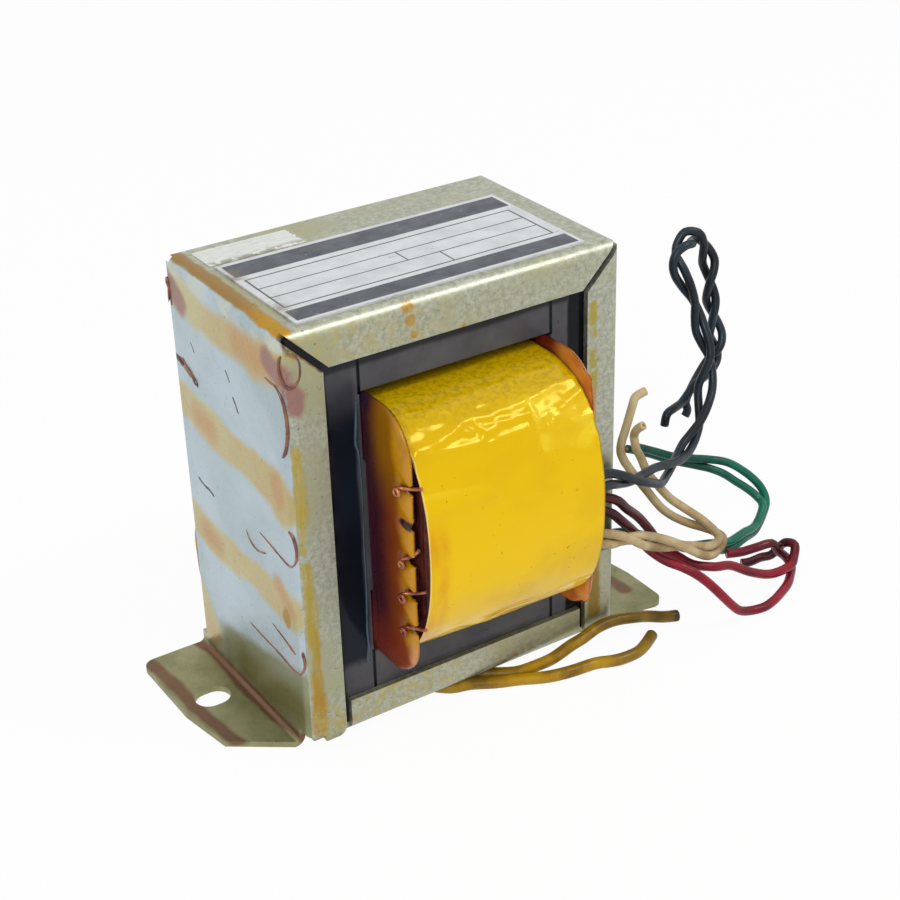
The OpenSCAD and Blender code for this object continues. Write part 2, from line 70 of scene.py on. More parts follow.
# Leads: five pairs of stranded hook-up wire in soft PVC, twisted in pairs where
# they leave the coil and cut off short. Each is a tube swept along its route.
def linear(tone):
    parts = [int(tone[i:i + 2], 16) / 255 for i in (0, 2, 4)]
    return (*[c / 12.92 if c < 0.04045 else ((c + 0.055) / 1.055) ** 2.4 for c in parts], 1)


class Finish:
    """A material of one shader, with patterns that read Object coordinates."""

    def __init__(self, name, tone, roughness, **plain):
        self.material = bpy.data.materials.new(name)
        self.material.use_nodes = True
        self.nodes = self.material.node_tree.nodes
        self.shader = self.nodes["Principled BSDF"]
        self.shader.inputs["Base Color"].default_value = linear(tone)
        self.shader.inputs["Roughness"].default_value = roughness
        for socket, value in plain.items():
            self.shader.inputs[socket.replace("_", " ")].default_value = value
        self.place = self.nodes.new("ShaderNodeTexCoord").outputs["Object"]

    def join(self, socket, value):
        if isinstance(value, bpy.types.NodeSocket):
            self.material.node_tree.links.new(value, socket)
        else:
            socket.default_value = value

    def node(self, kind, inputs, out=0, **settings):
        made = self.nodes.new("ShaderNode" + kind)
        for name, value in settings.items():
            setattr(made, name, value)
        for key, value in inputs.items():
            self.join(made.inputs[key], value)
        return made.outputs[out]

    def noise(self, scale, detail=3, roughness=0.55, distortion=0, at=None):
        return self.node("TexNoise", {"Vector": at or self.place, "Scale": scale, "Detail": detail,
                                      "Roughness": roughness, "Distortion": distortion})

    def sum(self, operation, a, b=0, c=0):
        return self.node("Math", {0: a, 1: b, 2: c}, operation=operation)

    def times(self, a, b):
        return self.sum("MULTIPLY", a, b)

    def fade(self, value, low, high, start=0, end=1):
        """Eases from start, where the value is low, to end, where it is high."""
        ends = {"Value": value, "From Min": low, "From Max": high, "To Min": start, "To Max": end}
        return self.node("MapRange", ends, interpolation_type="SMOOTHSTEP")

    def past(self, value, low, high, start=0, end=1):
        """The same, between two places in millimetres."""
        return self.fade(value, low * mm, high * mm, start, end)

    def mix(self, share, low, high):
        low, high = (linear(c) if isinstance(c, str) else c for c in (low, high))
        return self.node("Mix", {0: share, 6: low, 7: high}, 2, data_type="RGBA")

    def axis(self, name, at=None):
        split = self.nodes.new("ShaderNodeSeparateXYZ")
        self.join(split.inputs[0], at or self.place)
        return split.outputs[name]

    def stirred(self, scale, reach):
        """Coordinates that wander by some millimetres, for ragged outlines."""
        push = self.node("TexNoise", {"Vector": self.place, "Scale": scale, "Detail": 3}, "Color")
        push = self.node("VectorMath", {0: push, 1: (0.5, 0.5, 0.5)}, operation="SUBTRACT")
        return self.node("VectorMath", {0: push, 1: (reach * mm,) * 3, 2: self.place},
                         operation="MULTIPLY_ADD")

    def spot(self, at, middle, size, soft=0.4):
        """Covers an ellipsoid, given in millimetres."""
        away = self.node("VectorMath", {0: at, 1: [c * mm for c in middle]}, operation="SUBTRACT")
        away = self.node("VectorMath", {0: away, 1: [c * mm for c in size]}, operation="DIVIDE")
        length = self.node("VectorMath", {0: away}, "Value", operation="LENGTH")
        return self.fade(length, 1 - soft, 1 + soft, 1, 0)

    def any_of(self, *masks):
        """Covers what any of the masks covers."""
        total = masks[0]
        for mask in masks[1:]:
            total = self.sum("MAXIMUM", total, mask)
        return total

    def colour(self, value):
        self.join(self.shader.inputs["Base Color"], value)

    def rough(self, value):
        self.join(self.shader.inputs["Roughness"], value)

    def relief(self, height, depth, strength=1):
        bump = {"Height": height, "Distance": depth * mm, "Strength": strength}
        self.join(self.shader.inputs["Normal"], self.node("Bump", bump))


def piece(name, verts, faces, finish, body="root"):
    mesh = bpy.data.meshes.new(name)
    mesh.from_pydata([tuple(v) for v in verts], [], faces)
    mesh.validate()
    made = linked(name, mesh)
    mesh.materials.append(finish.material)
    mesh.shade_smooth()
    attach(made, body)
    return made


def smooth(rows, steps):
    """A curve through the rows, with so many steps from each row to the next."""
    rows = np.array(rows, float)
    line = []
    for i in range(len(rows) - 1):
        a, b, c, d = rows[max(i - 1, 0)], rows[i], rows[i + 1], rows[min(i + 2, len(rows) - 1)]
        for k in range(steps):
            t = k / steps
            line.append(0.5 * (2 * b + (c - a) * t + (2 * a - 5 * b + 4 * c - d) * t ** 2
                               + (3 * b - a - 3 * c + d) * t ** 3))
    return np.array([*line, rows[-1]])


def unit(v):
    return v / np.linalg.norm(v)


def lead_of(pair, side, end=()):
    """One lead of a pair. A row is the pair's middle, half its gap and its turn in degrees."""
    rows = smooth(pair, 2)
    middle = rows[:, :3]
    line = []
    for i, (*_, spread, turn) in enumerate(rows):
        t = unit(middle[min(i + 1, len(rows) - 1)] - middle[max(i - 1, 0)])
        u = unit(np.cross((0.5, 0.7, -0.5), t))
        v = np.cross(t, u)
        turn = math.radians(turn)
        line.append(middle[i] + side * spread * (math.cos(turn) * u + math.sin(turn) * v))
    return [*line, *np.array(end, float).reshape(-1, 3)]


def swept(line, radius, sides, core_share=0.45):
    """Rings of a tube along a line, its cut end faces, and the faces of its copper core."""
    line = np.array(line, float)
    count = len(line)
    way = [unit(line[min(i + 1, count - 1)] - line[max(i - 1, 0)]) for i in range(count)]
    u = unit(np.cross(way[0], (0.31, 0.95, 0.05)))
    verts, faces, core = [], [], []
    for i in range(count):
        u = unit(u - way[i] * (u @ way[i]))
        v = np.cross(way[i], u)
        r = radius(i) if callable(radius) else radius
        for k in range(sides):
            a = 2 * math.pi * k / sides
            verts.append(line[i] + r * (math.cos(a) * u + math.sin(a) * v))
        if i:
            at = (i - 1) * sides
            faces += [(at + k, at + (k + 1) % sides, at + sides + (k + 1) % sides, at + sides + k)
                      for k in range(sides)]
    for end, at in ((0, 0), (count - 1, (count - 1) * sides)):
        rim = [verts[at + k] for k in range(sides)]
        start = len(verts)
        verts += [line[end] + (p - line[end]) * core_share for p in rim]
        flip = end == 0
        for k in range(sides):
            quad = (at + k, at + (k + 1) % sides, start + (k + 1) % sides, start + k)
            faces.append(quad[::-1] if flip else quad)
        disc = tuple(range(start, start + sides))
        core.append(len(faces))
        faces.append(disc[::-1] if flip else disc)
    return verts, faces, core


def pvc(name, tone, dark, stain, stain_share=0.35, gloss=0.42):
    made = Finish(name, tone, gloss, Specular_IOR_Level=0.28)
    grime = made.noise(160, 4, 0.6)
    patch = made.noise(45, 3, 0.5, at=made.stirred(90, 4))
    shade = made.mix(made.fade(grime, 0.35, 0.7), tone, dark)
    made.skin = made.mix(made.times(made.fade(patch, 0.5, 0.72), stain_share), shade, stain)
    made.colour(made.skin)
    made.rough(made.fade(grime, 0.3, 0.7, gloss - 0.08, gloss + 0.14))
    made.relief(made.noise(900, 3, 0.6), 0.05, 0.5)
    return made


copper = Finish("cut copper strands", "b06a45", 0.35, Metallic=1.0)
copper.relief(copper.node("TexVoronoi", {"Vector": copper.place, "Scale": 4200}), 0.08)
copper.colour(copper.mix(copper.noise(900), "7c4026", "c98a62"))


def lead(name, route, thickness, finish):
    line = smooth(route, 4) * mm
    line[:, 2] = np.maximum(line[:, 2], thickness / 2 * mm)
    rng = np.random.default_rng(len(route) + int(thickness * 10))
    knots = np.arange(0, len(line) + 6, 6)
    lumps = np.interp(np.arange(len(line)), knots, rng.uniform(0.975, 1.0, len(knots)))
    verts, faces, core = swept(line, lambda i: thickness / 2 * mm * lumps[i], 16)
    made = piece(name, verts, faces, finish)
    made.data.materials.append(copper.material)
    for index in core:
        made.data.polygons[index].material_index = 1
    made.data.polygons.foreach_set("use_smooth", [len(p.vertices) == 4 for p in made.data.polygons])
    length = float(np.linalg.norm(np.diff(line, axis=0), axis=1).sum())
    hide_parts(name.replace("_wire", "_lead"))
    return made


black = pvc("black lead insulation", "1b2832", "0c1319", "33454f", 0.45, 0.36)
cream = pvc("cream lead insulation", "d0bb90", "a3875c", "5c4428", 0.65, 0.5)
green = pvc("green lead insulation", "04604c", "033a32", "108868", 0.45, 0.3)
red = pvc("red lead insulation", "8e0420", "3a0612", "b01838", 0.4, 0.3)
yellow = pvc("yellow lead insulation", "b48a08", "6e5206", "382a0a", 0.75, 0.3)
sooty = red.any_of(red.past(red.axis("X"), 38, 30),
                   red.spot(red.stirred(120, 4), (60, -19.5, 5), (7, 3.2, 4)),
                   red.fade(red.noise(110, 3, 0.6), 0.55, 0.7, 0, 0.7))
red.colour(red.mix(red.times(sooty, 0.8), red.skin, "2c0a14"))
tips = yellow.spot(yellow.stirred(200, 1.5), (40.5, -21.5, 1), (2.6, 2, 3))
yellow.colour(yellow.mix(tips, yellow.skin, "3a2c08"))

black_pair = [
    [16.4, -23.5, 33.5, 0.8, 0], [20, -23.5, 33.5, 0.8, 0], [24, -22.5, 33, 0.9, 0],
    [30.5, -20.5, 29.5, 0.8, 90], [38.5, -16.5, 26, 1.35, 180], [45, -13, 24.5, 0.8, 270],
    [50.5, -9.5, 24.5, 0.8, 360], [55, -7.5, 27, 0.8, 450], [58, -5, 31.5, 1.2, 540],
    [59.5, -4, 36.5, 0.85, 630], [59, -2, 41, 0.8, 720], [58.5, -0.5, 46, 0.8, 810],
    [56, 0.5, 51.5, 0.9, 900], [56, 1.5, 54.5, 0.8, 990], [59, 2, 56.5, 1.15, 1080],
    [62, 2.5, 55, 0.9, 1170], [64, 2.5, 51, 1.05, 1260], [64, 2, 47.5, 0.8, 1350],
    [64.5, 2, 44, 0.8, 1440], [65, 2, 41, 0.8, 1530], [66, 2, 37, 1.05, 1620],
    [66, 1.5, 34, 0.9, 1710], [64.5, 1.5, 31.5, 0.8, 1800], [59, -0.5, 29.5, 0.8, 1890],
]
black_end_a = [[56, -1.5, 28], [53.5, -2.5, 28], [51, -3.5, 28], [50.5, -3.5, 26]]
black_end_b = [[58.5, 0.5, 26.5], [58.5, 0, 25], [58, 0, 24]]
cream_pair = [
    [16.4, -24.5, 24.5, 0.8, 0], [20, -24.5, 24.5, 0.8, 0], [23.5, -24, 23, 0.85, 20],
    [27.5, -24, 21.5, 0.85, 110], [31.5, -23.5, 19.5, 0.8, 180], [36, -23, 17, 0.85, 230],
    [40.5, -22.5, 14.5, 0.8, 290], [45, -22, 12, 0.8, 350], [49, -20, 10.5, 0.8, 400],
    [51, -18.5, 11, 0.85, 430], [49.5, -16, 12.5, 0.85, 480], [48, -14.5, 13.5, 0.9, 520],
    [46, -13, 15, 1.1, 540], [44.5, -11.5, 16.5, 1.1, 540], [43, -10, 19, 1, 540],
    [41.5, -9, 21.5, 1, 540], [40.5, -8, 24, 1.3, 540], [39.5, -7.5, 26.5, 1.3, 540],
    [40, -7, 29, 0.85, 540],
]
cream_end_a = [[40, -6.5, 31], [40.5, -6.5, 32.5], [41, -6.5, 34], [42, -6, 35], [44, -6, 35.5]]
cream_end_b = [[40.5, -8.5, 30.5], [41, -9.5, 31.5]]
green_pair = [
    [16.4, -21, 21.5, 0.8, 0], [20, -21, 21.5, 0.8, 0], [26, -20.5, 20.5, 0.8, 10],
    [30.5, -19, 18.5, 0.8, 30], [36.5, -16, 14.5, 0.8, 60], [42, -15.5, 11.5, 0.8, 80],
    [46.5, -15.5, 9, 0.8, 70], [51, -15.5, 7.5, 0.8, 50], [55.5, -15.5, 6, 0.8, 40],
    [60.5, -14, 5.5, 0.8, 50], [64.5, -12.5, 5, 0.8, 65],
    [68, -10.5, 6.5, 0.85, 70], [69, -9, 8, 0.85, 40], [68, -7.5, 10, 1, 10], [66, -6, 12, 1.15, 0],
    [63.5, -5, 14, 1.05, 0], [61, -3.5, 15, 0.8, -20], [58, -2.5, 16, 0.8, -50],
    [54, -1.5, 17.5, 0.8, -65], [51, -0.5, 19, 0.8, -70], [48, 0, 20.5, 0.8, -70],
    [46, 0, 21.5, 0.8, -70],
]
red_a_route = [
    [16.4, -20.5, 30.5], [20, -20.5, 30.5], [26, -21, 28], [29, -20.5, 25], [32.5, -19.5, 21.5],
    [35.5, -19, 17.5], [37.5, -19.5, 14], [39.5, -20.5, 12.5], [42, -22, 10.5], [45.5, -23.5, 9.5],
    [49, -23.5, 8.5], [53, -24, 6], [57, -24, 4], [60, -24, 3.5], [63, -23.5, 3.5],
    [64.5, -22.5, 4], [65.5, -21.5, 5.5], [65, -20, 5.5], [65, -18.5, 4], [63.5, -18, 2.5],
    [62, -17, 2], [59.5, -17, 2], [58, -16.5, 2],
]
red_b_route = [
    [16.4, -20.5, 28.5], [20, -20.5, 28.5], [25, -21, 26], [27.5, -21.5, 23.5], [31, -21, 19.5],
    [34, -20, 15.5], [36, -22, 13.5], [38, -24, 12.5], [39.5, -25.5, 11.5], [41.5, -26.5, 9.5],
    [43.5, -27.5, 7], [45.5, -28, 4.5], [47.5, -28, 2.5], [50, -28, 1.5], [52.5, -28.5, 1.5],
    [55, -28, 1.5], [57.5, -27, 1.5], [60.5, -25.5, 1.5], [63, -23.5, 1.5], [64.5, -22, 2],
    [64.5, -20.5, 3], [62.5, -20.5, 5], [61, -20.5, 7], [58, -20, 7], [55.5, -19, 6.5], [53, -18, 6.5],
]
yellow_a_route = [
    [-16.4, 24.5, 24], [-19.5, 24.5, 24], [-22, 25, 22.5], [-23.5, 25.5, 19.5], [-24, 26, 16],
    [-24, 26, 12], [-24, 25.5, 8], [-23.5, 25, 5], [-22, 23.5, 2.5], [-20, 21, 1.05],
    [-17.5, 17.5, 1.05], [-16, 14, 1.05], [-14.5, 9, 1.05], [-13, 4, 1.05], [-11, -1, 1.05],
    [-9, -6, 1.05], [-7, -10.5, 1.05], [-5, -14, 1.05], [-2.5, -16.5, 1.05], [0.5, -17.5, 1.05],
    [4, -19.5, 1.05], [7.5, -21, 1.05], [11.5, -23, 1.05], [15.5, -24, 1.05], [20, -24.5, 1.05],
    [22.5, -25.5, 1.05], [24.5, -26, 1.05], [27.5, -26, 1.05], [30, -25, 1.05], [32.5, -23.5, 1.05],
]
yellow_b_route = [
    [-16.4, 21.5, 24], [-18.5, 21.5, 24], [-20, 22, 22.5], [-21, 22.5, 19.5], [-21.5, 22.5, 16],
    [-21.5, 22.5, 12], [-21.5, 22, 8], [-20, 21.5, 5], [-17.5, 20.5, 2.5], [-15, 19, 1.05],
    [-13.5, 16.5, 1.05], [-12.5, 13, 1.05], [-12, 8.5, 1.05], [-10.5, 3.5, 1.05], [-8.5, -1.5, 1.05],
    [-6, -6.5, 1.05], [-3.5, -10.5, 1.05], [-1, -13.5, 1.05], [1.5, -15, 1.05], [4, -16.5, 1.05],
    [8, -19, 1.05], [11, -20, 1.5], [14.5, -20.5, 2], [18, -20.5, 3], [20.5, -20.5, 3.5],
    [24, -20, 4], [27.5, -20, 4], [31, -20.5, 3.5], [34, -20.5, 2.5], [37, -21, 1.5],
    [39.5, -21.5, 1.05],
]
lead("black_wire_a", lead_of(black_pair, -1, black_end_a), 1.5, black)
lead("black_wire_b", lead_of(black_pair, 1, black_end_b), 1.5, black)
lead("cream_wire_a", lead_of(cream_pair, 1, cream_end_a), 1.5, cream)
lead("cream_wire_b", lead_of(cream_pair, -1, cream_end_b), 1.5, cream)
lead("green_wire_a", lead_of(green_pair, 1), 1.5, green)
lead("green_wire_b", lead_of(green_pair, -1), 1.5, green)
lead("red_wire_a", red_a_route, 1.6, red)
lead("red_wire_b", red_b_route, 1.6, red)
lead("yellow_wire_a", yellow_a_route, 2, yellow)
lead("yellow_wire_b", yellow_b_route, 2, yellow)


# Floor and light: a pale table in a white room, a large lamp at the front left,
# one over the coil, and an even sky.
def seen_directly(tree):
    """1 for a ray that shows the surface, in a mirror too, and 0 for one that lights the part."""
    path = tree.nodes.new("ShaderNodeLightPath")
    share = path.outputs["Is Camera Ray"]
    for kind in ("Is Glossy Ray", "Is Transmission Ray"):
        either = tree.nodes.new("ShaderNodeMath")
        either.operation = "MAXIMUM"
        tree.links.new(share, either.inputs[0])
        tree.links.new(path.outputs[kind], either.inputs[1])
        share = either.outputs[0]
    return share


floor_mesh = bpy.data.meshes.new("table_top")
floor_mesh.from_pydata([(-3, -3, 0), (3, -3, 0), (3, 3, 0), (-3, 3, 0)], [], [(0, 1, 2, 3)])
floor = linked("table_top", floor_mesh)
pale = bpy.data.materials.new("pale table")
pale.use_nodes = True
tree = pale.node_tree
tree.nodes.clear()
matt = tree.nodes.new("ShaderNodeBsdfDiffuse")
matt.inputs["Color"].default_value = (0.86, 0.86, 0.86, 1)
white = tree.nodes.new("ShaderNodeEmission")
blend = tree.nodes.new("ShaderNodeMixShader")
most = tree.nodes.new("ShaderNodeMath")
most.operation = "MULTIPLY"
most.inputs[1].default_value = 0.95
tree.links.new(seen_directly(tree), most.inputs[0])
tree.links.new(most.outputs[0], blend.inputs[0])
tree.links.new(matt.outputs[0], blend.inputs[1])
tree.links.new(white.outputs[0], blend.inputs[2])
surface = tree.nodes.new("ShaderNodeOutputMaterial")
tree.links.new(blend.outputs[0], surface.inputs[0])
floor_mesh.materials.append(pale)

world = bpy.data.worlds.new("room")
bpy.context.scene.world = world
world.use_nodes = True
tree = world.node_tree
level = tree.nodes.new("ShaderNodeMapRange")
level.inputs["To Min"].default_value = 0.55
level.inputs["To Max"].default_value = 1.0
tree.links.new(seen_directly(tree), level.inputs["Value"])
tree.links.new(level.outputs[0], tree.nodes["Background"].inputs["Strength"])
tree.nodes["Background"].inputs["Color"].default_value = (1, 1, 1, 1)


def lamp(name, place, aim, size, power):
    light = bpy.data.lights.new(name, "AREA")
    light.size = size
    light.energy = power
    made = linked(name, light)
    made.location = place
    made.rotation_mode = "QUATERNION"
    made.rotation_quaternion = (Vector(aim) - Vector(place)).to_track_quat("-Z", "Y")


lamp("front lamp", (-0.45, -0.5, 0.55), (0, 0, 0.03), 0.4, 2.6)
lamp("coil lamp", (0.37, -0.36, 0.7), (0, -0.02, 0.05), 0.22, 1.7)


# Core: 69 interleaved E and I sheets of silicon steel, dipped in black varnish that has
# levelled to a mirror over the outermost sheet. Its colour is painted reflection and shade.
coil_middle = 36.1
varnish = Finish("black core varnish", "2c2d32", 0.12, Specular_IOR_Level=0.14)
core_x, core_z = (varnish.axis(a, varnish.stirred(60, 1.6)) for a in "XZ")
# Painted reflection: grey where the pale floor shows in the varnish, navy on the left leg where the
# shaded flange beside it shows, greyer towards the top of the leg.
floor_reflection_grey = varnish.mix(varnish.fade(varnish.noise(140, 4, 0.6), 0.3, 0.7), "565558", "48474c")
flange_reflection_area = varnish.times(varnish.past(core_x, -17.0, -17.8), varnish.past(core_z, 12, 14))
flange_reflection_area = varnish.times(flange_reflection_area, varnish.past(core_z, 62, 52, 0.25, 1))
flange_reflection_navy = varnish.mix(varnish.fade(varnish.noise(45, 3, 0.5), 0.35, 0.7), "0b111b", "141d2a")
tone = varnish.mix(flange_reflection_area, floor_reflection_grey, flange_reflection_navy)
# Painted shade: dark strips on the core beside the frame's right, top and left lips, where the lips
# shade the varnish and show dark in it.
lip_shade_strips = varnish.any_of(varnish.past(core_x, 19.3, 19.9), varnish.past(core_z, 61.8, 62.6, 0, 0.7),
                       varnish.times(varnish.past(core_x, -21.3, -21.9), 0.8))
tone = varnish.mix(lip_shade_strips, tone, "070b12")


def sheet_seam(place):
    """The line where an I sheet meets the legs of an E, above and below the window."""
    aside = varnish.sum("ABSOLUTE", varnish.sum("SUBTRACT", varnish.axis("X"), place * mm))
    on_line = varnish.past(aside, 0.34, 0.16)
    above = varnish.sum("ABSOLUTE", varnish.sum("SUBTRACT", varnish.axis("Z"), coil_middle * mm))
    return varnish.times(on_line, varnish.sum("GREATER_THAN", above, 21.6 * mm))


seams = varnish.any_of(sheet_seam(-16.5), sheet_seam(16.5))
tone = varnish.mix(seams, tone, "04070d")
dust = varnish.fade(varnish.noise(800, 3, 0.7), 0.66, 0.74, 0, 0.5)
varnish.colour(varnish.mix(dust, tone, "1a1614"))
varnish.rough(varnish.fade(varnish.noise(110, 4, 0.6), 0.35, 0.75, 0.1, 0.26))
swell = varnish.noise(90, 2, 0.5)
varnish.relief(varnish.sum("SUBTRACT", swell, varnish.times(seams, 1.2)), 0.14, 0.6)


def dress(node, finish):
    cad[node].data.materials.clear()
    cad[node].data.materials.append(finish.material)


dress("e_laminations", varnish)
dress("i_laminations", varnish)


# Varnish bead: a thin ridge that ran down the joint between the left flange and the
# core and set there. Its pale blue, mottled with navy, is a painted reflection.
bead_finish = Finish("set varnish bead", "3c5468", 0.12, Specular_IOR_Level=0.5)
# Painted reflection: navy to pale blue at random along the bead.
bead_finish.colour(bead_finish.mix(bead_finish.noise(220, 3), "141f2e", "4c6478"))
bead_finish.relief(bead_finish.noise(400), 0.05)
bead_rows = [
    [-17.1, -17.3, 56.8], [-17.3, -17.35, 54], [-17.6, -17.4, 50.5], [-17.2, -17.35, 48.6],
    [-17.0, -17.3, 44], [-17.05, -17.3, 38], [-17.2, -17.35, 34], [-17.15, -17.3, 29],
    [-17.3, -17.4, 24], [-17.5, -17.4, 19], [-17.4, -17.35, 15.5], [-17.7, -17.3, 13.2],
    [-17.2, -17.3, 12.2],
]
bead_line = smooth(bead_rows, 6) * mm
bead_width = np.interp(np.arange(len(bead_line)), [0, 6, 14, 20, 30, 44, 54, 64, 72],
                       [0.1, 0.22, 0.3, 0.14, 0.09, 0.14, 0.22, 0.3, 0.1])
bead_verts, bead_faces, _ = swept(bead_line, lambda i: bead_width[i] * mm, 10)
bead = piece("varnish_bead", bead_verts, bead_faces, bead_finish)


# Bobbin: two moulded flanges on a square tube, of amber plastic gone dark where the
# varnish soaked in. The left flange has five notches for the winding ends.
flange_faces = {"left": (-16.4, -15.2), "right": (15.2, 16.4)}
notch_depth, notch_half, notch_spacing = 2.2, 0.7, 5.8
notch_heights = [coil_middle + (2 - i) * notch_spacing - 0.5 for i in range(5)]
flange_lobes = {
    "left": [((-15.9, -27.6, 41.4), (0.8, 1.3, 0.75)), ((-16.0, -27.9, 46.6), (0.5, 0.7, 0.7)),
             ((-15.9, -27.9, 24.2), (0.5, 0.7, 0.7)), ((-15.7, -28.4, 38.3), (0.75, 0.7, 1.7)),
             ((-15.7, -28.4, 32.6), (0.75, 0.7, 1.8)), ((-15.7, -28.4, 27.0), (0.75, 0.7, 1.8)),
             ((-15.7, -28.4, 44.2), (0.75, 0.7, 1.6)), ((-15.7, -28.2, 20.6), (0.75, 0.9, 2.3)),
             ((-15.7, -28.0, 50.4), (0.75, 0.9, 2.2))],
    "right": [((15.8, -27.8, 50), (0.8, 1.2, 4.5)), ((15.8, -25.5, 54.6), (0.8, 3.2, 1.6)),
              ((15.8, -28.1, 22), (0.8, 1.0, 4.5)), ((15.8, -26, 17.4), (0.8, 2.6, 1.6))],
}


def rounded(half_y, half_z, radius, steps=12):
    ring = []
    for cy, cz, first in ((1, 1, 0), (-1, 1, 90), (-1, -1, 180), (1, -1, 270)):
        for k in range(steps + 1):
            a = math.radians(first + 90 * k / steps)
            ring.append((cy * (half_y - radius) + radius * math.cos(a),
                         coil_middle + cz * (half_z - radius) + radius * math.sin(a)))
    return ring


def notched(ring):
    """The flange's outline, with its front edge broken by the notches."""
    front_edge = min(p[0] for p in ring)
    at = next(i for i, p in enumerate(ring) if p[0] == front_edge and p[1] > coil_middle) + 1
    cuts = []
    floor_y = front_edge + notch_depth - notch_half
    for middle in notch_heights:
        cuts.append((front_edge, middle + notch_half))
        cuts += [(floor_y + notch_half * math.cos(a), middle + notch_half * math.sin(a))
                 for a in (math.radians(90 - 22.5 * k) for k in range(9))]
        cuts.append((front_edge, middle - notch_half))
    return ring[:at] + cuts + ring[at:]


def edge_distance(points, ring):
    """How far each point lies inside the outline."""
    near = np.full(len(points), 1e9)
    for a, b in zip(ring, ring[1:] + ring[:1]):
        a, b = np.array(a), np.array(b)
        t = np.clip((points - a) @ (b - a) / max(float((b - a) @ (b - a)), 1e-9), 0, 1)
        near = np.minimum(near, np.linalg.norm(points - a - t[:, None] * (b - a), axis=1))
    return near


def settled(form):
    """The mesh that an object's modifiers leave. The object itself goes."""
    ready = form.evaluated_get(bpy.context.evaluated_depsgraph_get())
    mesh = bpy.data.meshes.new_from_object(ready)
    bpy.data.objects.remove(form)
    return mesh


def flange(side):
    """A flange with its lobes melted on, dished and rippled: points in millimetres, and faces."""
    ring = rounded(29.14, 21.8, 7)
    if side == "left":
        ring = notched(ring)
    hole = rounded(17.5, 11.1, 0.3, 2)
    low, high = flange_faces[side]
    form = bmesh.new()
    loops = []
    for outline in (ring, hole):
        ends = [[form.verts.new((x, y, z)) for y, z in outline] for x in (low, high)]
        loops.append(ends)
        for k in range(len(outline)):
            n = (k + 1) % len(outline)
            form.faces.new((ends[0][k], ends[0][n], ends[1][n], ends[1][k]))
    for end in (0, 1):
        edges = []
        for ends in loops:
            row = ends[end]
            edges += [form.edges.get((row[k], row[(k + 1) % len(row)])) for k in range(len(row))]
        bmesh.ops.triangle_fill(form, edges=edges, use_beauty=True)
    for place, size in flange_lobes[side]:
        bmesh.ops.create_icosphere(form, subdivisions=3, radius=1,
                                   matrix=Matrix.Translation(place) @ Matrix.Diagonal((*size, 1)))
    bmesh.ops.recalc_face_normals(form, faces=form.faces)
    shape = bpy.data.meshes.new("flange")
    form.to_mesh(shape)
    form.free()
    rough_form = linked("flange", shape)
    voxels = rough_form.modifiers.new("melt", "REMESH")
    voxels.mode = "VOXEL"
    voxels.voxel_size = 0.32
    ease = rough_form.modifiers.new("ease", "SMOOTH")
    ease.factor = 0.5
    ease.iterations = 4
    made = settled(rough_form)
    points = np.array([v.co[:] for v in made.vertices])
    middle = (low + high) / 2
    inward = 1 - np.clip(edge_distance(points[:, 1:], ring) / 2.6, 0, 1)
    away = -1 if side == "left" else 1
    outside = (points[:, 0] - middle) * away > 0
    ripple = np.array([noise.noise(Vector((3 * away, p[1] * 0.33, p[2] * 0.24))) for p in points])
    dish = -away * (0.34 * inward ** 2 + 0.1 * (ripple + 1) / 2)
    points[:, 0] += np.where(outside, dish, away * 0.16 * inward ** 2)
    points[:, 1] += np.where(points[:, 1] < -20, 0.12 * (1 + ripple), 0)
    faces = [tuple(p.vertices) for p in made.polygons]
    return points, faces


amber = Finish("amber bobbin plastic", "a85a1c", 0.2, Specular_IOR_Level=0.32)
at_y, at_z, at_x = (amber.axis(a) for a in "YZX")
flow = amber.noise(120, 3, 0.55, 0.7)
shift = amber.sum("MULTIPLY_ADD", amber.noise(60, 3, 0.5), 5 * mm, -2.5 * mm)
run_y = amber.sum("ADD", at_y, shift)
tone = amber.mix(amber.past(run_y, -27, -19.5), "8a420c", "3c1220")
upper = amber.past(at_z, 40, 52)
tone = amber.mix(amber.times(upper, amber.past(run_y, -18, -24)), tone, "8f5e06")
lower = amber.past(at_z, 26, 17)
tone = amber.mix(amber.times(lower, 0.6), tone, "86301a")
clear_edge = amber.times(amber.past(amber.sum("ADD", run_y, amber.times(shift, 0.4)), -25.2, -27.4),
                         amber.past(at_z, 19, 22))
streaked = amber.times(clear_edge, amber.fade(flow, 0.25, 0.6, 0.45, 0.95))
tone = amber.mix(streaked, tone, "c68a04")
stirred_place = amber.stirred(240, 1.2)
dark_spots = amber.any_of(amber.spot(stirred_place, (-16, -27.6, 41.3), (1.4, 1.6, 0.9), 0.3),
                          amber.spot(stirred_place, (-16, -17.6, 56.8), (1.6, 1.6, 1.6), 0.5),
                          amber.spot(stirred_place, (15.8, -18.5, 57), (2, 3.2, 1.6), 0.5))
tone = amber.mix(dark_spots, tone, "32182c")
# Painted highlight: the flange's edge below the lowest notch is made pale.
pale = amber.spot(stirred_place, (-15.6, -28.9, 18.6), (1.1, 1.6, 2.8), 0.4)
tone = amber.mix(amber.times(pale, 0.75), tone, "d89a5c")
# Painted shade: each notch is darkened where shade falls in it.
notch_shade = None
for middle in notch_heights:
    shade = amber.spot(stirred_place, (-15.9, -28.1, middle), (1.6, 1.5, 0.75), 0.45)
    notch_shade = shade if notch_shade is None else amber.any_of(notch_shade, shade)
tone = amber.mix(amber.times(notch_shade, 0.75), tone, "3a120c")
on_right = amber.sum("GREATER_THAN", at_x, 0)
right_edge = amber.past(run_y, -22, -17.8)
right_face = amber.mix(amber.fade(flow, 0.35, 0.65), "b4581a", "cc8434")
right_tone = amber.mix(right_edge, right_face, "6a2010")
amber.colour(amber.mix(on_right, tone, right_tone))
amber.rough(amber.fade(amber.noise(260, 4, 0.6), 0.35, 0.7, 0.12, 0.3))
amber.relief(amber.sum("ADD", flow, amber.times(amber.noise(500, 4, 0.6), 0.25)), 0.28, 0.5)

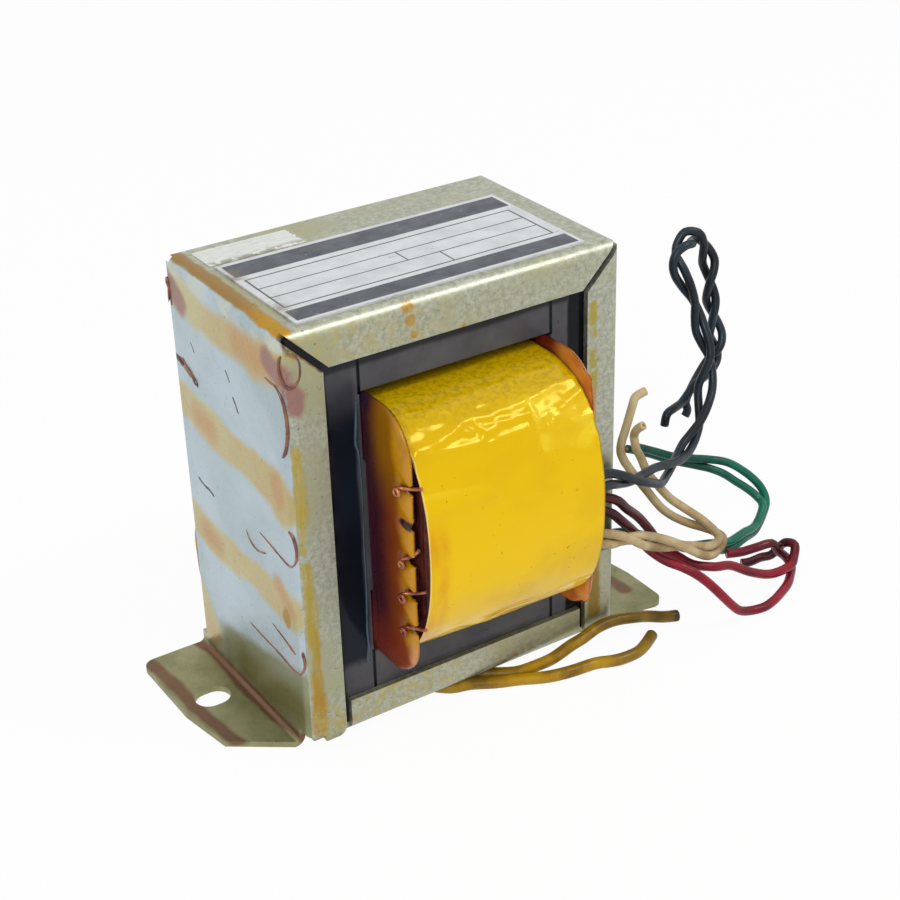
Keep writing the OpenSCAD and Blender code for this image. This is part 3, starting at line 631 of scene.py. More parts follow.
verts, faces = [], []
for side in flange_faces:
    points, ring_faces = flange(side)
    at = len(verts)
    verts += (points * mm).tolist()
    faces += [tuple(at + i for i in face) for face in ring_faces]
tube = (rounded(18.4, 12.16, 1, 4), rounded(17.5, 11.25, 0.3, 4))
count = len(tube[0])
outer = len(verts)
inner = outer + 2 * count
verts += [(x * mm, y * mm, z * mm) for wall in tube for x in (-16.3, 16.3) for y, z in wall]
for one, two in ((outer + count, outer), (inner, inner + count), (inner, outer),
                 (outer + count, inner + count)):
    faces += [(one + k, one + (k + 1) % count, two + (k + 1) % count, two + k) for k in range(count)]
bobbin = piece("amber_bobbin", verts, faces, amber)
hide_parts("bobbin")


# Windings: enamelled copper with paper between, under dark red-brown varnish. Only
# their left end shows, beside the flange.
wound = Finish("varnished winding", "35161a", 0.3, Specular_IOR_Level=0.3)
layers = wound.node("VectorMath", {0: wound.place, 1: (1, 1, 0.04)}, operation="MULTIPLY")
grain = wound.noise(1500, 3, 0.6, 0, layers)
tone = wound.mix(wound.fade(grain, 0.35, 0.68), "2a0f14", "5a2622")
tone = wound.mix(wound.fade(wound.noise(240, 3, 0.6), 0.5, 0.7, 0, 0.5), tone, "7c3a2c")
wound.colour(wound.mix(wound.past(wound.axis("Z"), 21, 17), tone, "1a0d12"))
wound.relief(wound.sum("ADD", grain, wound.noise(300, 3)), 0.14)
for layer in ("primary_winding", "winding_barrier", "secondary_winding", "paper_wrap"):
    dress(layer, wound)


# Winding ends: enamelled copper wire, brought out through the notches, turned twice
# on the flange and led back under the tape. The second notch holds none.
enamel = Finish("red copper enamel", "9a4a32", 0.24, Metallic=0.55)
enamel.colour(enamel.mix(enamel.fade(enamel.noise(500, 3), 0.35, 0.7), "74302a", "c07a52"))
enamel.relief(enamel.noise(1500), 0.03)
turn_path = [
    (1.55, -3.0, 1.7), (1.3, -2.2, 1.1), (0.95, -1.2, 0.5), (0.4, -0.3, 0.1), (-0.1, 0.1, 0),
    (-0.42, 0.5, -0.3), (-0.5, 0.75, -0.9), (-0.46, 0.3, -1.35), (-0.42, -0.3, -1.1),
    (-0.46, -0.45, -0.5), (-0.6, 0, -0.1), (-0.66, 0.5, -0.3), (-0.68, 0.6, -0.9),
    (-0.6, 0.1, -1.2), (-0.5, -0.3, -0.9),
]
turn_curve = bpy.data.curves.new("wire_turn", "CURVE")
turn_curve.dimensions = "3D"
strand = turn_curve.splines.new("POLY")
turn_line = smooth(turn_path, 5)
strand.points.add(len(turn_line) - 1)
for point, place in zip(strand.points, turn_line):
    point.co = (*(place * mm), 1)
wire_turns = linked("notch_wires", turn_curve)

turning = bpy.data.node_groups.new("wires in notches", "GeometryNodeTree")
for label, kind, way in (
        ("Geometry", "Geometry", "INPUT"), ("Wire thickness", "Float", "INPUT"),
        ("Notches", "Int", "INPUT"), ("Empty notch", "Int", "INPUT"),
        ("Notch spacing", "Float", "INPUT"), ("First notch", "Vector", "INPUT"),
        ("Seed", "Int", "INPUT"), ("Wire finish", "Material", "INPUT"),
        ("Geometry", "Geometry", "OUTPUT")):
    turning.interface.new_socket(label, in_out=way, socket_type="NodeSocket" + kind)


def step(kind, links, **settings):
    """A node of the tree with its links and values. Returns its first output."""
    made = turning.nodes.new(kind)
    for name, value in settings.items():
        setattr(made, name, value)
    for key, value in links.items():
        if isinstance(value, bpy.types.NodeSocket):
            turning.links.new(value, made.inputs[key])
        else:
            made.inputs[key].default_value = value
    return made.outputs[0]


given = turning.nodes.new("NodeGroupInput").outputs
down = step("ShaderNodeMath", {0: given["Notch spacing"], 1: -1.0}, operation="MULTIPLY")
drop = step("ShaderNodeCombineXYZ", {"Z": down})
spots = step("GeometryNodeMeshLine", {"Count": given["Notches"], "Offset": drop,
                                      "Start Location": given["First notch"]})
order = step("GeometryNodeInputIndex", {})
empty = step("FunctionNodeCompare", {2: order, 3: given["Empty notch"]},
             data_type="INT", operation="EQUAL")
kept = step("GeometryNodeDeleteGeometry", {"Geometry": spots, "Selection": empty})
lean = step("FunctionNodeRandomValue", {0: (-0.25, -0.15, -0.12), 1: (0.3, 0.1, 0.12),
                                        "Seed": given["Seed"]}, data_type="FLOAT_VECTOR")
size = step("FunctionNodeRandomValue", {0: (1.0, 0.9, 0.85), 1: (1.0, 1.0, 1.1),
                                        "Seed": given["Seed"]}, data_type="FLOAT_VECTOR")
placed = step("GeometryNodeInstanceOnPoints", {"Points": kept, "Instance": given["Geometry"],
                                               "Rotation": lean, "Scale": size})
real = step("GeometryNodeRealizeInstances", {"Geometry": placed})
half = step("ShaderNodeMath", {0: given["Wire thickness"], 1: 0.5}, operation="MULTIPLY")
gauge = step("GeometryNodeCurvePrimitiveCircle", {"Resolution": 10, "Radius": half})
drawn = step("GeometryNodeCurveToMesh", {"Curve": real, "Profile Curve": gauge, "Fill Caps": True})
eased = step("GeometryNodeSetShadeSmooth", {"Geometry": drawn})
dressed = step("GeometryNodeSetMaterial", {"Geometry": eased, "Material": given["Wire finish"]})
result = turning.nodes.new("NodeGroupOutput")
turning.links.new(dressed, result.inputs[0])
layout = wire_turns.modifiers.new("wires", "NODES")
layout.node_group = turning
chosen = {"Wire thickness": 0.56 * mm, "Notches": 5, "Empty notch": 1, "Seed": 4,
          "Notch spacing": notch_spacing * mm, "Wire finish": enamel.material,
          "First notch": (-16.4 * mm, -27.3 * mm, notch_heights[0] * mm)}
for item in turning.interface.items_tree:
    if item.in_out == "INPUT" and item.name in chosen:
        layout[item.identifier] = chosen[item.name]
turned = settled(wire_turns)
turned.name = "notch_wires"
wires = linked("notch_wires", turned)
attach(wires, "root")
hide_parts("magnet_wires")


# Tape: clear yellow polyester film wound over the coil and lapped at the front,
# creased over the shoulder. The varnish has crept under it, and air lies under the lap, whose paler
# patches are painted highlights.
film_left, film_right = -14.6, 15.0
film_out, film_in = 8.0, 7.6
shoulder_y, shoulder_z = 17.24, 12.2
corner_power = 2 / 2.3


def at_back(turn):
    return np.cos(turn) > 0


def film_point(x, turn, depth):
    """Point of the film at x, at an angle round the coil, from 0 at the back over the top."""
    c, s = np.cos(turn), np.sin(turn)
    wider = 1 + 0.045 * (x - film_left) / (film_right - film_left)
    bulge = (1.2 + 1.7 * depth) * np.sign(c) * np.abs(c) ** corner_power
    y = (np.where(at_back(turn), shoulder_y, -shoulder_y) + bulge) * wider
    z = coil_middle + (shoulder_z + depth) * np.sign(s) * np.abs(s) ** corner_power
    return np.stack([x, y, z], -1)


quarter = np.radians(np.linspace(0.01, 89.99, 60))
back_half = np.concatenate([-quarter[::-1], quarter])
front_half = np.radians(180) - back_half[::-1]
turns = np.concatenate([back_half, front_half])
turns = turns[np.r_[True, np.diff(turns) > 1e-3]]
columns = np.linspace(film_left, film_right, 180)
grid_x, grid_turn = np.meshgrid(columns, turns, indexing="ij")
lift = np.degrees(np.arcsin(np.clip(np.sin(grid_turn), -1, 1)))
front = np.cos(grid_turn) < 0

# Each crease is its height and half width, and its path in x and degrees of lift.
creases = [
    (0.26, 1.5, [(-14.6, 44.5), (-13.8, 49.3), (-10.2, 50.5), (-7.4, 54), (-5.2, 58.3), (-3.2, 58.8),
                 (-1, 57.2), (1.4, 58.6), (4.4, 59), (8, 61.3), (10.4, 63.8), (15, 65)]),
    (0.22, 1.3, [(-14.6, 44.5), (-12, 46.3), (-9.5, 46), (-6.8, 45.3), (-3.6, 45.3), (-1.8, 49.8),
                 (1, 52), (5, 52)]),
    (0.1, 1.2, [(-14.6, 75), (-10.8, 71.4), (-2.8, 66.3), (5.8, 62.3)]),
    (0.2, 1.0, [(-3.2, 58.8), (-3.4, 53.8), (-2.2, 50)]),
    (0.17, 0.9, [(-5.2, 58.3), (-6, 54), (-4.4, 51)]),
    (0.2, 1.2, [(-3.6, 42.3), (0.5, 44.2), (4.4, 45.4), (4.6, 41), (4.2, 39.6)]),
    (0.24, 1.1, [(5.8, 62), (5.6, 55), (5.8, 47), (7.2, 40.5), (11, 39.5), (15, 41.5)]),
    (0.22, 1.1, [(7.2, 41), (9, 46), (11.5, 51.5), (14.6, 56)]),
    (0.2, 1.0, [(5.8, 46.8), (9, 50), (10.4, 50.4), (12.5, 46)]),
    (0.16, 0.9, [(12.5, 30.5), (15, 31.5)]),
    (0.16, 0.9, [(12.8, 28.8), (15, 28)]),
    (0.12, 1.3, [(-14.6, 20), (-9, 20.6), (-4, 19.8)]),
    (0.14, 1.5, [(-8, -43), (-2, -56), (4, -62)]),
]
bend_radius = 15.5
rise = np.radians(lift) * bend_radius


def crease_field(path, wide):
    """How near each point of the film is to a crease, from 0 to 1 on its ridge."""
    nearest = np.full(grid_x.shape, 1e9)
    points = [(px, math.radians(angle) * bend_radius) for px, angle in path]
    for (ax, ay), (bx, by) in zip(points, points[1:]):
        span = (bx - ax) ** 2 + (by - ay) ** 2
        t = np.clip(((grid_x - ax) * (bx - ax) + (rise - ay) * (by - ay)) / span, 0, 1)
        away = np.hypot(grid_x - ax - t * (bx - ax), rise - ay - t * (by - ay))
        nearest = np.minimum(nearest, away)
    return np.clip(1 - nearest / wide, 0, 1)


def ripples(place):
    return np.array([noise.noise(Vector(place(a, b))) for a, b in
                     zip(grid_x.ravel(), rise.ravel())]).reshape(grid_x.shape)


# The film lies flat but for its creases and ripples, the lap, and the tuck at its left edge.
flat = -0.3
slack = np.full(grid_x.shape, flat)
for height, wide, path in creases:
    slack = np.maximum(slack, flat + height * crease_field(path, wide) ** 1.3)
wave = ripples(lambda a, b: (a * 0.16, b * 0.28, 3.1))
fine_wave = ripples(lambda a, b: (a * 0.55 + b * 0.2, b * 0.8, 7.7))
creased = np.clip(1 - np.abs(lift - 53) / 20, 0, 1)
slack += 0.07 * wave + 0.1 * fine_wave * creased
slack = np.where(front, slack, -0.22 + 0.1 * wave + 0.05 * fine_wave)
lapped = np.clip((grid_x - 5.6) / 0.5, 0, 1) * np.clip((lift - 40) / 2, 0, 1) * front
slack = np.minimum(slack + 0.14 * lapped, 0.12)
slack = np.maximum(slack, np.where(lift > 70, -0.32, -0.36))
tucked = np.clip(1 - (grid_x - film_left) / 1.6, 0, 1) * np.clip((30 - lift) / 20, 0, 1) * front
slack -= 0.04 * tucked

outer = film_point(grid_x, grid_turn, film_out + slack).reshape(-1, 3)
inner = np.concatenate([film_point(np.full(turns.shape, edge), turns, film_in)
                        for edge in (film_left, film_right)])
around = len(turns)
rows = len(columns)
skin = [(i * around + k, i * around + (k + 1) % around,
         (i + 1) * around + (k + 1) % around, (i + 1) * around + k)
        for i in range(rows - 1) for k in range(around)]
start = rows * around
last = start - around
for k in range(around):
    n = (k + 1) % around
    skin += [(k, start + k, start + n, n),
             (last + n, start + around + n, start + around + k, last + k),
             (start + k, start + around + k, start + around + n, start + n)]

film = Finish("yellow polyester tape", "e2ba06", 0.12, IOR=1.36, Specular_IOR_Level=0.9,
              Specular_Tint=(1, 0.82, 0.2, 1))
height = film.axis("Z")
across = film.axis("X")
stretched = film.node("VectorMath", {0: film.place, 1: (1, 0.35, 0.35)}, operation="MULTIPLY")
drawn_out = film.node("VectorMath", {0: film.place, 1: (0.3, 1, 1)}, operation="MULTIPLY")
streaky = film.noise(260, 4, 0.6, 0.4, stretched)
tone = film.mix(film.past(height, 30, 56), "eec200", "dab000")
tone = film.mix(film.fade(film.noise(70, 3, 0.55), 0.45, 0.75, 0, 0.6), tone, "d2a404")
on_top = film.past(height, 52.5, 56)
dulled = film.times(on_top, film.fade(film.noise(1300, 5, 0.7), 0.42, 0.66, 0.15, 0.8))
tone = film.mix(dulled, tone, "94800c")
lap = film.times(film.past(across, 5.2, 5.9), film.past(height, 46.8, 47.6))
lap = film.times(lap, film.past(height, 54.6, 53.6))
# Painted highlight: paler patches on the lap, for the glints of its crumpled film.
lap_highlight = film.times(lap, film.fade(film.noise(210, 4, 0.6, 0.8), 0.42, 0.68, 0.1, 0.6))
tone = film.mix(lap_highlight, tone, "ecd03c")
shoulder = film.times(film.past(height, 44.5, 47), film.past(height, 55, 52))
glints = film.fade(film.noise(150, 4, 0.6, 1.2, drawn_out), 0.52, 0.66, 0, 0.55)
tone = film.mix(film.times(shoulder, glints), tone, "f0d430")
amber_edge = film.times(film.past(across, -10.6, -12.4), film.past(height, 44, 38))
tone = film.mix(film.times(amber_edge, film.fade(streaky, 0.3, 0.7, 0.1, 0.85)), tone, "d58a06")
specks = film.fade(film.noise(1100, 3, 0.75), 0.655, 0.7, 0, 0.9)
patchy = film.fade(film.noise(110, 2, 0.5), 0.5, 0.64, 0.08, 1)
tone = film.mix(film.times(specks, patchy), tone, "4a3608")
# Painted highlight: a thin pale line along the film's left edge.
tone = film.mix(film.past(across, -14.35, -14.5, 0, 0.7), tone, "f0dc90")
film.colour(film.mix(film.past(across, 14.7, 14.92, 0, 0.6), tone, "7a4a10"))
film.rough(film.fade(film.noise(330, 4, 0.6), 0.35, 0.7, 0.09, 0.24))
fine = film.times(film.noise(900, 3, 0.6), 0.12)
film.relief(film.sum("ADD", film.noise(180, 3, 0.5, 0.6), fine), 0.16, 0.5)
tape = piece("yellow_tape", (np.concatenate([outer, inner]) * mm).tolist(), skin, film)
upright = bmesh.new()
upright.from_mesh(tape.data)
bmesh.ops.recalc_face_normals(upright, faces=upright.faces)
upright.to_mesh(tape.data)
upright.free()
for face in tape.data.polygons:
    face.use_smooth = face.index < (rows - 1) * around
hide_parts("outer_tape", "tape_lap")


# Frame: a strip of chromated zinc-plated steel folded round the core, with front
# and back lips, open mitres and slotted feet. Dipped, so varnish has run down it.
left_face, lip_face = -28.7, -18.3
zinc = Finish("stained zinc plating", "b0b4a4", 0.42, Metallic=0.8)
moved = zinc.stirred(80, 3)
ragged = zinc.stirred(320, 1.1)
x, y, z = (zinc.axis(a) for a in "XYZ")
grain = zinc.noise(1150, 4, 0.7)
cloud = zinc.noise(60, 3, 0.5)


def streak(at, a, b, wide, soft=0.4):
    """Covers what is nearer than a half width to the line from a to b."""
    a, b = (Vector(p) * mm for p in (a, b))
    off = zinc.node("VectorMath", {0: at, 1: a}, operation="SUBTRACT")
    way = (b - a) / (b - a).length_squared
    share = zinc.node("VectorMath", {0: off, 1: way}, "Value", operation="DOT_PRODUCT")
    share = zinc.sum("MINIMUM", zinc.sum("MAXIMUM", share, 0), 1)
    along = zinc.node("VectorMath", {0: b - a, "Scale": share}, operation="SCALE")
    away = zinc.node("VectorMath", {0: off, 1: along}, "Value", operation="DISTANCE")
    return zinc.fade(away, wide * (1 - soft) * mm, wide * (1 + soft) * mm, 1, 0)


def trail(at, rows, soft=0.4):
    """A stain that follows rows of (x, y, z, half width)."""
    whole = None
    for p, q in zip(rows, rows[1:]):
        part = streak(at, p[:3], q[:3], (p[3] + q[3]) / 2, soft)
        whole = part if whole is None else zinc.any_of(whole, part)
    return whole


def on_left(rows, soft=0.4, at=None):
    return trail(at or moved, [(left_face, *row) for row in rows], soft)


def on_lip(rows, soft=0.4):
    return trail(ragged, [(along, lip_face, *row) for along, *row in rows], soft)


def laid(stain, tone, mask, amount=1.0):
    return zinc.mix(zinc.times(mask, amount), tone, stain)


plain = zinc.mix(zinc.fade(grain, 0.35, 0.66), "999b89", "bbbdad")
plain = zinc.mix(zinc.fade(cloud, 0.45, 0.7), plain, "a8a786")
# Painted light: the left side face of the strip is given a paler, bluer tone than the rest, for the
# bright reflection it shows.
side_face = zinc.sum("LESS_THAN", x, -28.2 * mm)
lit_side_tone = zinc.mix(zinc.fade(zinc.noise(45, 4, 0.6, 0.4), 0.35, 0.65), "bccad2", "a9babf")
lit_side_tone = zinc.mix(zinc.fade(grain, 0.5, 0.72, 0, 0.5), lit_side_tone, "cdd8de")
tone = zinc.mix(side_face, plain, lit_side_tone)

tan = zinc.any_of(
    on_left([(18.5, 66.2, 3.6), (9, 64.6, 2.6), (0, 64.2, 2.3), (-9, 64, 3.1), (-17.5, 65.6, 3.6)]),
    on_left([(16.5, 47.4, 2.6), (10.5, 46.2, 3.9), (2, 45.2, 2.9), (-7, 45.2, 2.9),
             (-13.6, 44.6, 4.0), (-15, 43, 3.6)], 0.25),
    on_left([(16.8, 26.4, 2.2), (11, 25, 3.8), (3, 24.6, 2.6), (-5, 25.2, 2.3),
             (-12, 25.4, 3.4), (-15.6, 25, 3.2)], 0.28),
    on_left([(18.5, 11, 4.5), (15, 6, 3.4)]))
tanned = zinc.times(tan, side_face)
tone = zinc.mix(tanned, tone, zinc.mix(zinc.fade(cloud, 0.35, 0.7), "beb78a", "b9a673"))
warm = zinc.any_of(
    on_left([(11, 45.9, 2.2), (7, 45.2, 2.3)], 0.8),
    on_left([(-13.4, 46, 1.5), (-14.4, 43.4, 1.7)], 0.7),
    on_left([(12, 25.4, 1.8), (8.5, 24.6, 1.9)], 0.8),
    on_left([(-5, 64.2, 1.6), (-12, 64.4, 3)], 0.8),
    on_left([(-12, 28, 1), (-15, 25, 2)], 0.8))
tone = laid("b98c58", tone, zinc.times(warm, side_face), 0.75)
fold_glow = zinc.times(zinc.past(z, 66.6, 68), side_face)
paler = zinc.times(fold_glow, zinc.fade(zinc.noise(110, 3, 0.6), 0.4, 0.6))
tone = laid("c7cfc4", tone, paler, 0.8)
# Painted reflection: the lower part of the left side face is olive where the foot shows in it, deepest
# near the bottom.
tilted = zinc.sum("ADD", zinc.axis("Z", moved), zinc.times(y, 0.22))
foot_reflection = zinc.times(zinc.past(tilted, 12.6, 10.2), zinc.past(zinc.axis("Y", moved), 13, 9))
tone = laid("84834c", tone, zinc.times(foot_reflection, side_face), 0.8)
deep_foot_reflection = on_left([(2, 4.5, 2.6), (-15, 7, 4.4)], 0.7)
tone = laid("6d6626", tone, zinc.times(deep_foot_reflection, side_face), 0.7)
mauve = zinc.any_of(
    on_left([(17.5, 66.5, 1.8), (13.4, 64, 2.4)], 0.35, ragged),
    on_left([(-14, 65.2, 1.9), (-16.8, 64, 2.2)], 0.35, ragged),
    on_lip([(-28, 62, 1.1), (-27, 60.4, 1.7), (-27, 59, 1.0)]))
tone = laid("8d5a58", tone, mauve, 0.85)
plum = zinc.any_of(
    on_left([(17.8, 67.5, 0.5), (16.6, 63, 0.7)], 0.4, ragged),
    on_lip([(-28.5, 69.6, 1.1), (-26.3, 67.3, 0.5), (-22.6, 63.7, 0.35)]))
tone = laid("5b2a34", tone, plum, 0.9)

ochre = zinc.any_of(
    on_lip([(-27.6, 52.4, 0.3), (-27.3, 46.5, 1.1), (-27.4, 41, 0.8), (-27.6, 36, 0.3)]),
    on_lip([(-27.3, 33.6, 0.4), (-27.1, 27, 1.2), (-26.9, 20, 0.8), (-26.8, 15, 0.5),
            (-26.8, 10.7, 1.2), (-27, 4.6, 1.0)]))
veined = zinc.node("VectorMath", {0: zinc.place, 1: (1, 1, 0.12)}, operation="MULTIPLY")
ochre = zinc.times(ochre, zinc.fade(zinc.noise(1300, 3, 0.6, 0, veined), 0.3, 0.6, 0.45, 1))
tone = laid("a8901a", tone, ochre, 0.95)
tone = laid("a87808", tone, zinc.times(ochre, zinc.past(z, 26, 8)), 0.75)
drops = zinc.any_of(
    zinc.spot(ragged, (-8.6, -18, 69.2), (1, 1.2, 0.7), 0.3),
    zinc.spot(ragged, (-8.4, -18.3, 67.2), (0.9, 1, 0.9), 0.25),
    zinc.spot(ragged, (-7.7, -18.3, 64.9), (0.7, 1, 0.6), 0.3),
    zinc.spot(ragged, (-28.7, -13.4, 22.9), (1, 1.1, 1.7), 0.25),
    zinc.spot(ragged, (0.6, -18.3, 63.9), (0.35, 1, 0.3), 0.3))
tone = laid("a87a12", tone, drops, 0.95)
top_run = trail(ragged, [(-27.3, 16.5, 70.3, 0.9), (-27.2, 6, 70.3, 1.15), (-27.4, -6, 70.3, 1.1),
                         (-27.6, -17, 70.3, 1.2)], 0.3)
tone = laid("9a7430", tone, top_run, 0.9)
tone = laid("c0921a", tone, zinc.times(top_run, zinc.past(y, -4, -13)), 0.8)
lip_tint = zinc.times(zinc.past(y, -17.9, -18.2), zinc.fade(zinc.noise(560, 5, 0.75), 0.4, 0.64))
upper_lip = zinc.times(lip_tint, zinc.past(z, 63.5, 64.5))
tone = laid("b3a868", tone, zinc.times(upper_lip, zinc.past(x, 6, -20, 0.25, 0.9)), 0.7)
right_run = zinc.times(on_lip([(23.5, 61, 0.6), (23.6, 50, 0.9), (23.5, 34, 0.6)]),
                       zinc.fade(zinc.noise(350, 4, 0.7), 0.38, 0.55))
tone = laid("a79632", tone, right_run, 0.9)
tone = laid("8f6d18", tone, on_lip([(24.2, 15.5, 1.1), (24.4, 6, 1.2)], 0.35), 0.85)
channel_tint = zinc.times(zinc.times(lip_tint, zinc.past(z, 9, 8)), zinc.past(x, 5, -12, 0.2, 1))
tone = laid("b3a45c", tone, channel_tint, 0.8)

foot_level = zinc.past(z, 3.2, 1.6)
foot_tone = zinc.mix(zinc.fade(zinc.noise(130, 4, 0.6), 0.35, 0.65), "86855f", "9b9973")
tone = zinc.mix(foot_level, tone, foot_tone)
foot_bands = zinc.any_of(
    trail(moved, [(-38.6, 18, 1, 1.0), (-38.2, 3, 1, 1.2), (-36.6, -11, 1, 1.1), (-33, -16, 1, 0.9)]),
    trail(moved, [(-29.5, 18, 1, 1.0), (-28.9, 1, 1, 1.0), (-28.3, -16, 1, 1.0)]),
    trail(moved, [(37.5, 18, 1, 1.2), (37.5, -10, 1, 1.2)]))
tone = laid("714a3a", tone, zinc.times(foot_bands, foot_level), 0.85)

# Painted highlight: the top folds and the corners where the feet bend out are made whiter, in patches.
edges = zinc.any_of(
    zinc.times(zinc.past(y, -17.4, -17.9), zinc.past(z, 69.2, 69.9)),
    zinc.times(zinc.past(y, 17.4, 17.9), zinc.past(z, 69.2, 69.9)),
    zinc.times(zinc.past(zinc.sum("ABSOLUTE", x), 28.0, 28.4),
               zinc.times(zinc.past(zinc.sum("ABSOLUTE", y), 17.6, 18.0), zinc.past(z, 2.5, 3.5))))
fold_highlight = zinc.times(edges, zinc.fade(zinc.noise(480, 4, 0.7), 0.35, 0.6))
tone = laid("d8d8cc", tone, fold_highlight, 0.75)
pits = zinc.fade(zinc.noise(1500, 3, 0.7), 0.64, 0.72, 0, 0.7)
tone = zinc.mix(pits, tone, "54564a")
nicks = zinc.any_of(
    on_left([(16.8, 54, 0.3), (14.4, 53.6, 0.8), (12.4, 52.9, 0.6), (10, 51.6, 0.2)], 0.3, ragged),
    on_left([(-1.9, 54.3, 0.28), (-3.2, 52.6, 0.2)], 0.3, ragged),
    on_left([(13.2, 34.3, 0.2), (8.4, 33.5, 0.3)], 0.3, ragged),
    on_left([(11.2, 58.3, 0.18), (10.2, 57, 0.22)], 0.3, ragged),
    on_left([(-0.2, 58, 0.2), (-1.2, 56.8, 0.18)], 0.3, ragged))
tone = laid("3c2a24", tone, nicks, 0.9)
zinc.colour(tone)
wet = zinc.any_of(ochre, drops, mauve, zinc.times(tan, side_face))
zinc.rough(zinc.times(zinc.fade(grain, 0.3, 0.7, 0.36, 0.52), zinc.fade(wet, 0, 1, 1, 0.72)))
thick_stain = zinc.any_of(ochre, drops, mauve)
zinc.join(zinc.shader.inputs["Metallic"], zinc.fade(thick_stain, 0, 1, 0.8, 0.25))
zinc.relief(zinc.sum("ADD", grain, zinc.times(zinc.noise(160, 3, 0.5), 0.8)), 0.05, 0.55)
dress("bracket", zinc)
dress("bottom_channel", zinc)


# Varnish runs: beads of brown impregnating varnish that ran down the left side after
# the dip and set where they stopped, thicker at their lower ends.
brown = Finish("set brown varnish", "6a2c18", 0.12, IOR=1.5, Coat_Weight=0.6, Coat_Roughness=0.05)
brown.colour(brown.mix(brown.fade(brown.noise(420, 3), 0.35, 0.7), "531f18", "9a5a26"))
brown.relief(brown.noise(600), 0.05)
# Each run is its half width and the places that it follows.
run_paths = [
    (0.26, [[-28.72, -12.9, 62.2], [-28.72, -14.6, 62], [-28.72, -16.2, 61.9], [-28.66, -17.4, 60.6],
            [-28.5, -17.8, 58.6], [-28.42, -17.9, 56.4], [-28.5, -17.8, 54.6], [-28.66, -17.3, 52.4],
            [-28.72, -16.4, 51.2]]),
    (0.2, [[-28.2, -18.36, 67.4], [-27, -18.36, 67], [-26.1, -18.36, 66], [-26.1, -18.36, 63.8],
           [-26.9, -18.36, 62.6], [-27.8, -18.3, 62.3], [-28.5, -17.9, 63], [-28.72, -17.2, 65.2],
           [-28.6, -17.6, 67]]),
    (0.16, [[-28.72, -2.2, 32.6], [-28.72, -3.4, 31.2], [-28.72, -5.6, 30.6], [-28.72, -8.2, 31.4]]),
    (0.2, [[-28.72, -6.7, 34.4], [-28.72, -9.9, 33.9], [-28.72, -13.1, 33.3], [-28.72, -16, 33.1],
           [-28.6, -17.6, 34.6], [-28.5, -17.8, 36.6], [-28.66, -17.4, 38.6], [-28.72, -16.4, 39.2]]),
    (0.2, [[-28.72, -0.4, 15], [-28.72, -5.1, 14.7], [-28.72, -10.2, 14.5], [-28.72, -14.2, 14],
           [-28.68, -16.6, 14.6], [-28.5, -17.7, 16.6], [-28.62, -17.4, 18.8]]),
    (0.16, [[-28.72, -8.4, 19.2], [-28.72, -12.4, 18.3], [-28.72, -15.4, 17.4]]),
    (0.3, [[-28.72, 16.6, 54.2], [-28.72, 14.6, 53.2], [-28.72, 13.4, 53.6], [-28.72, 11.6, 52.8],
           [-28.72, 10.2, 51.6]]),
    (0.22, [[-28.72, 15.2, 54.4], [-28.72, 13.8, 54], [-28.72, 12.4, 52.4]]),
    (0.3, [[-28.72, 17.4, 62.6], [-28.72, 16.8, 64.8], [-28.72, 17.2, 66.8]]),
]
for index, (wide, rows) in enumerate(run_paths):
    run_line = smooth(rows, 6) * mm
    ends = len(run_line) - 1
    beads = [wide * (0.55 + 0.6 * i / ends + 0.3 * noise.noise(Vector((i * 0.5, index, 0))))
             * min(1, (i + 1) / 4, (ends - i + 1.5) / 3) for i in range(ends + 1)]
    run_verts, run_faces, _ = swept(run_line, lambda i: beads[i] * mm, 10)
    run = piece(f"varnish_run_{index + 1}", run_verts, run_faces, brown)


# Nameplate: a printed aluminium foil glued on the top, with two dark bands and a
# ruled box. It is left blank.
foil = Finish("nameplate foil", "c2c6c8", 0.34, Metallic=0.45)
plate_x, plate_y = foil.axis("X"), foil.axis("Y")


def between(value, low, high, blur=0.06):
    """Covers a strip of the plate, between two places in millimetres."""
    return foil.times(foil.fade(value, (low - blur) * mm, (low + blur) * mm),
                    foil.fade(value, (high + blur) * mm, (high - blur) * mm))


def field(x0, x1, y0, y1):
    return foil.times(between(plate_x, x0, x1), between(plate_y, y0, y1))


silver = foil.mix(foil.fade(foil.noise(200, 4, 0.6), 0.35, 0.7), "d8dbdd", "c6cbce")
ink = foil.mix(foil.fade(foil.noise(350, 4, 0.65), 0.35, 0.7), "3a4149", "4c545c")
bands = foil.any_of(field(-24.4, 22.9, 2.5, 7.2), field(-24.4, 22.9, -15.5, -11.9))
tone = foil.mix(bands, silver, ink)
ruled = foil.any_of(
    foil.sum("SUBTRACT", field(-23.9, 21.8, -10.8, 1.1), field(-23.6, 21.5, -10.5, 0.8)),
    field(-23.9, 21.8, -3.05, -2.8), field(-23.9, 21.8, -6.75, -6.5),
    field(-1.3, -1.05, -6.6, -2.9), field(4.1, 4.35, -10.6, -6.6))
tone = foil.mix(ruled, tone, "3c4146")
wear = foil.fade(foil.noise(900, 4, 0.7), 0.66, 0.74, 0, 0.8)
tone = foil.mix(foil.times(wear, bands), tone, "aab0b2")
marks = foil.node("VectorMath", {0: foil.place, 1: (0.2, 1, 1)}, operation="MULTIPLY")
tone = foil.mix(foil.fade(foil.noise(1300, 2, 0.6, 0.6, marks), 0.68, 0.76, 0, 0.5), tone, "6b6f70")
dirt = foil.times(foil.past(plate_x, -22, -24.8), foil.fade(foil.noise(260, 4, 0.7), 0.45, 0.65))
foil.colour(foil.mix(foil.times(dirt, 0.7), tone, "7c6a4a"))
foil.rough(foil.fade(foil.noise(300, 4, 0.6), 0.35, 0.7, 0.28, 0.44))
foil.relief(foil.sum("ADD", foil.noise(90, 2), foil.times(ruled, -0.3)), 0.05, 0.6)
dress("nameplate", foil)


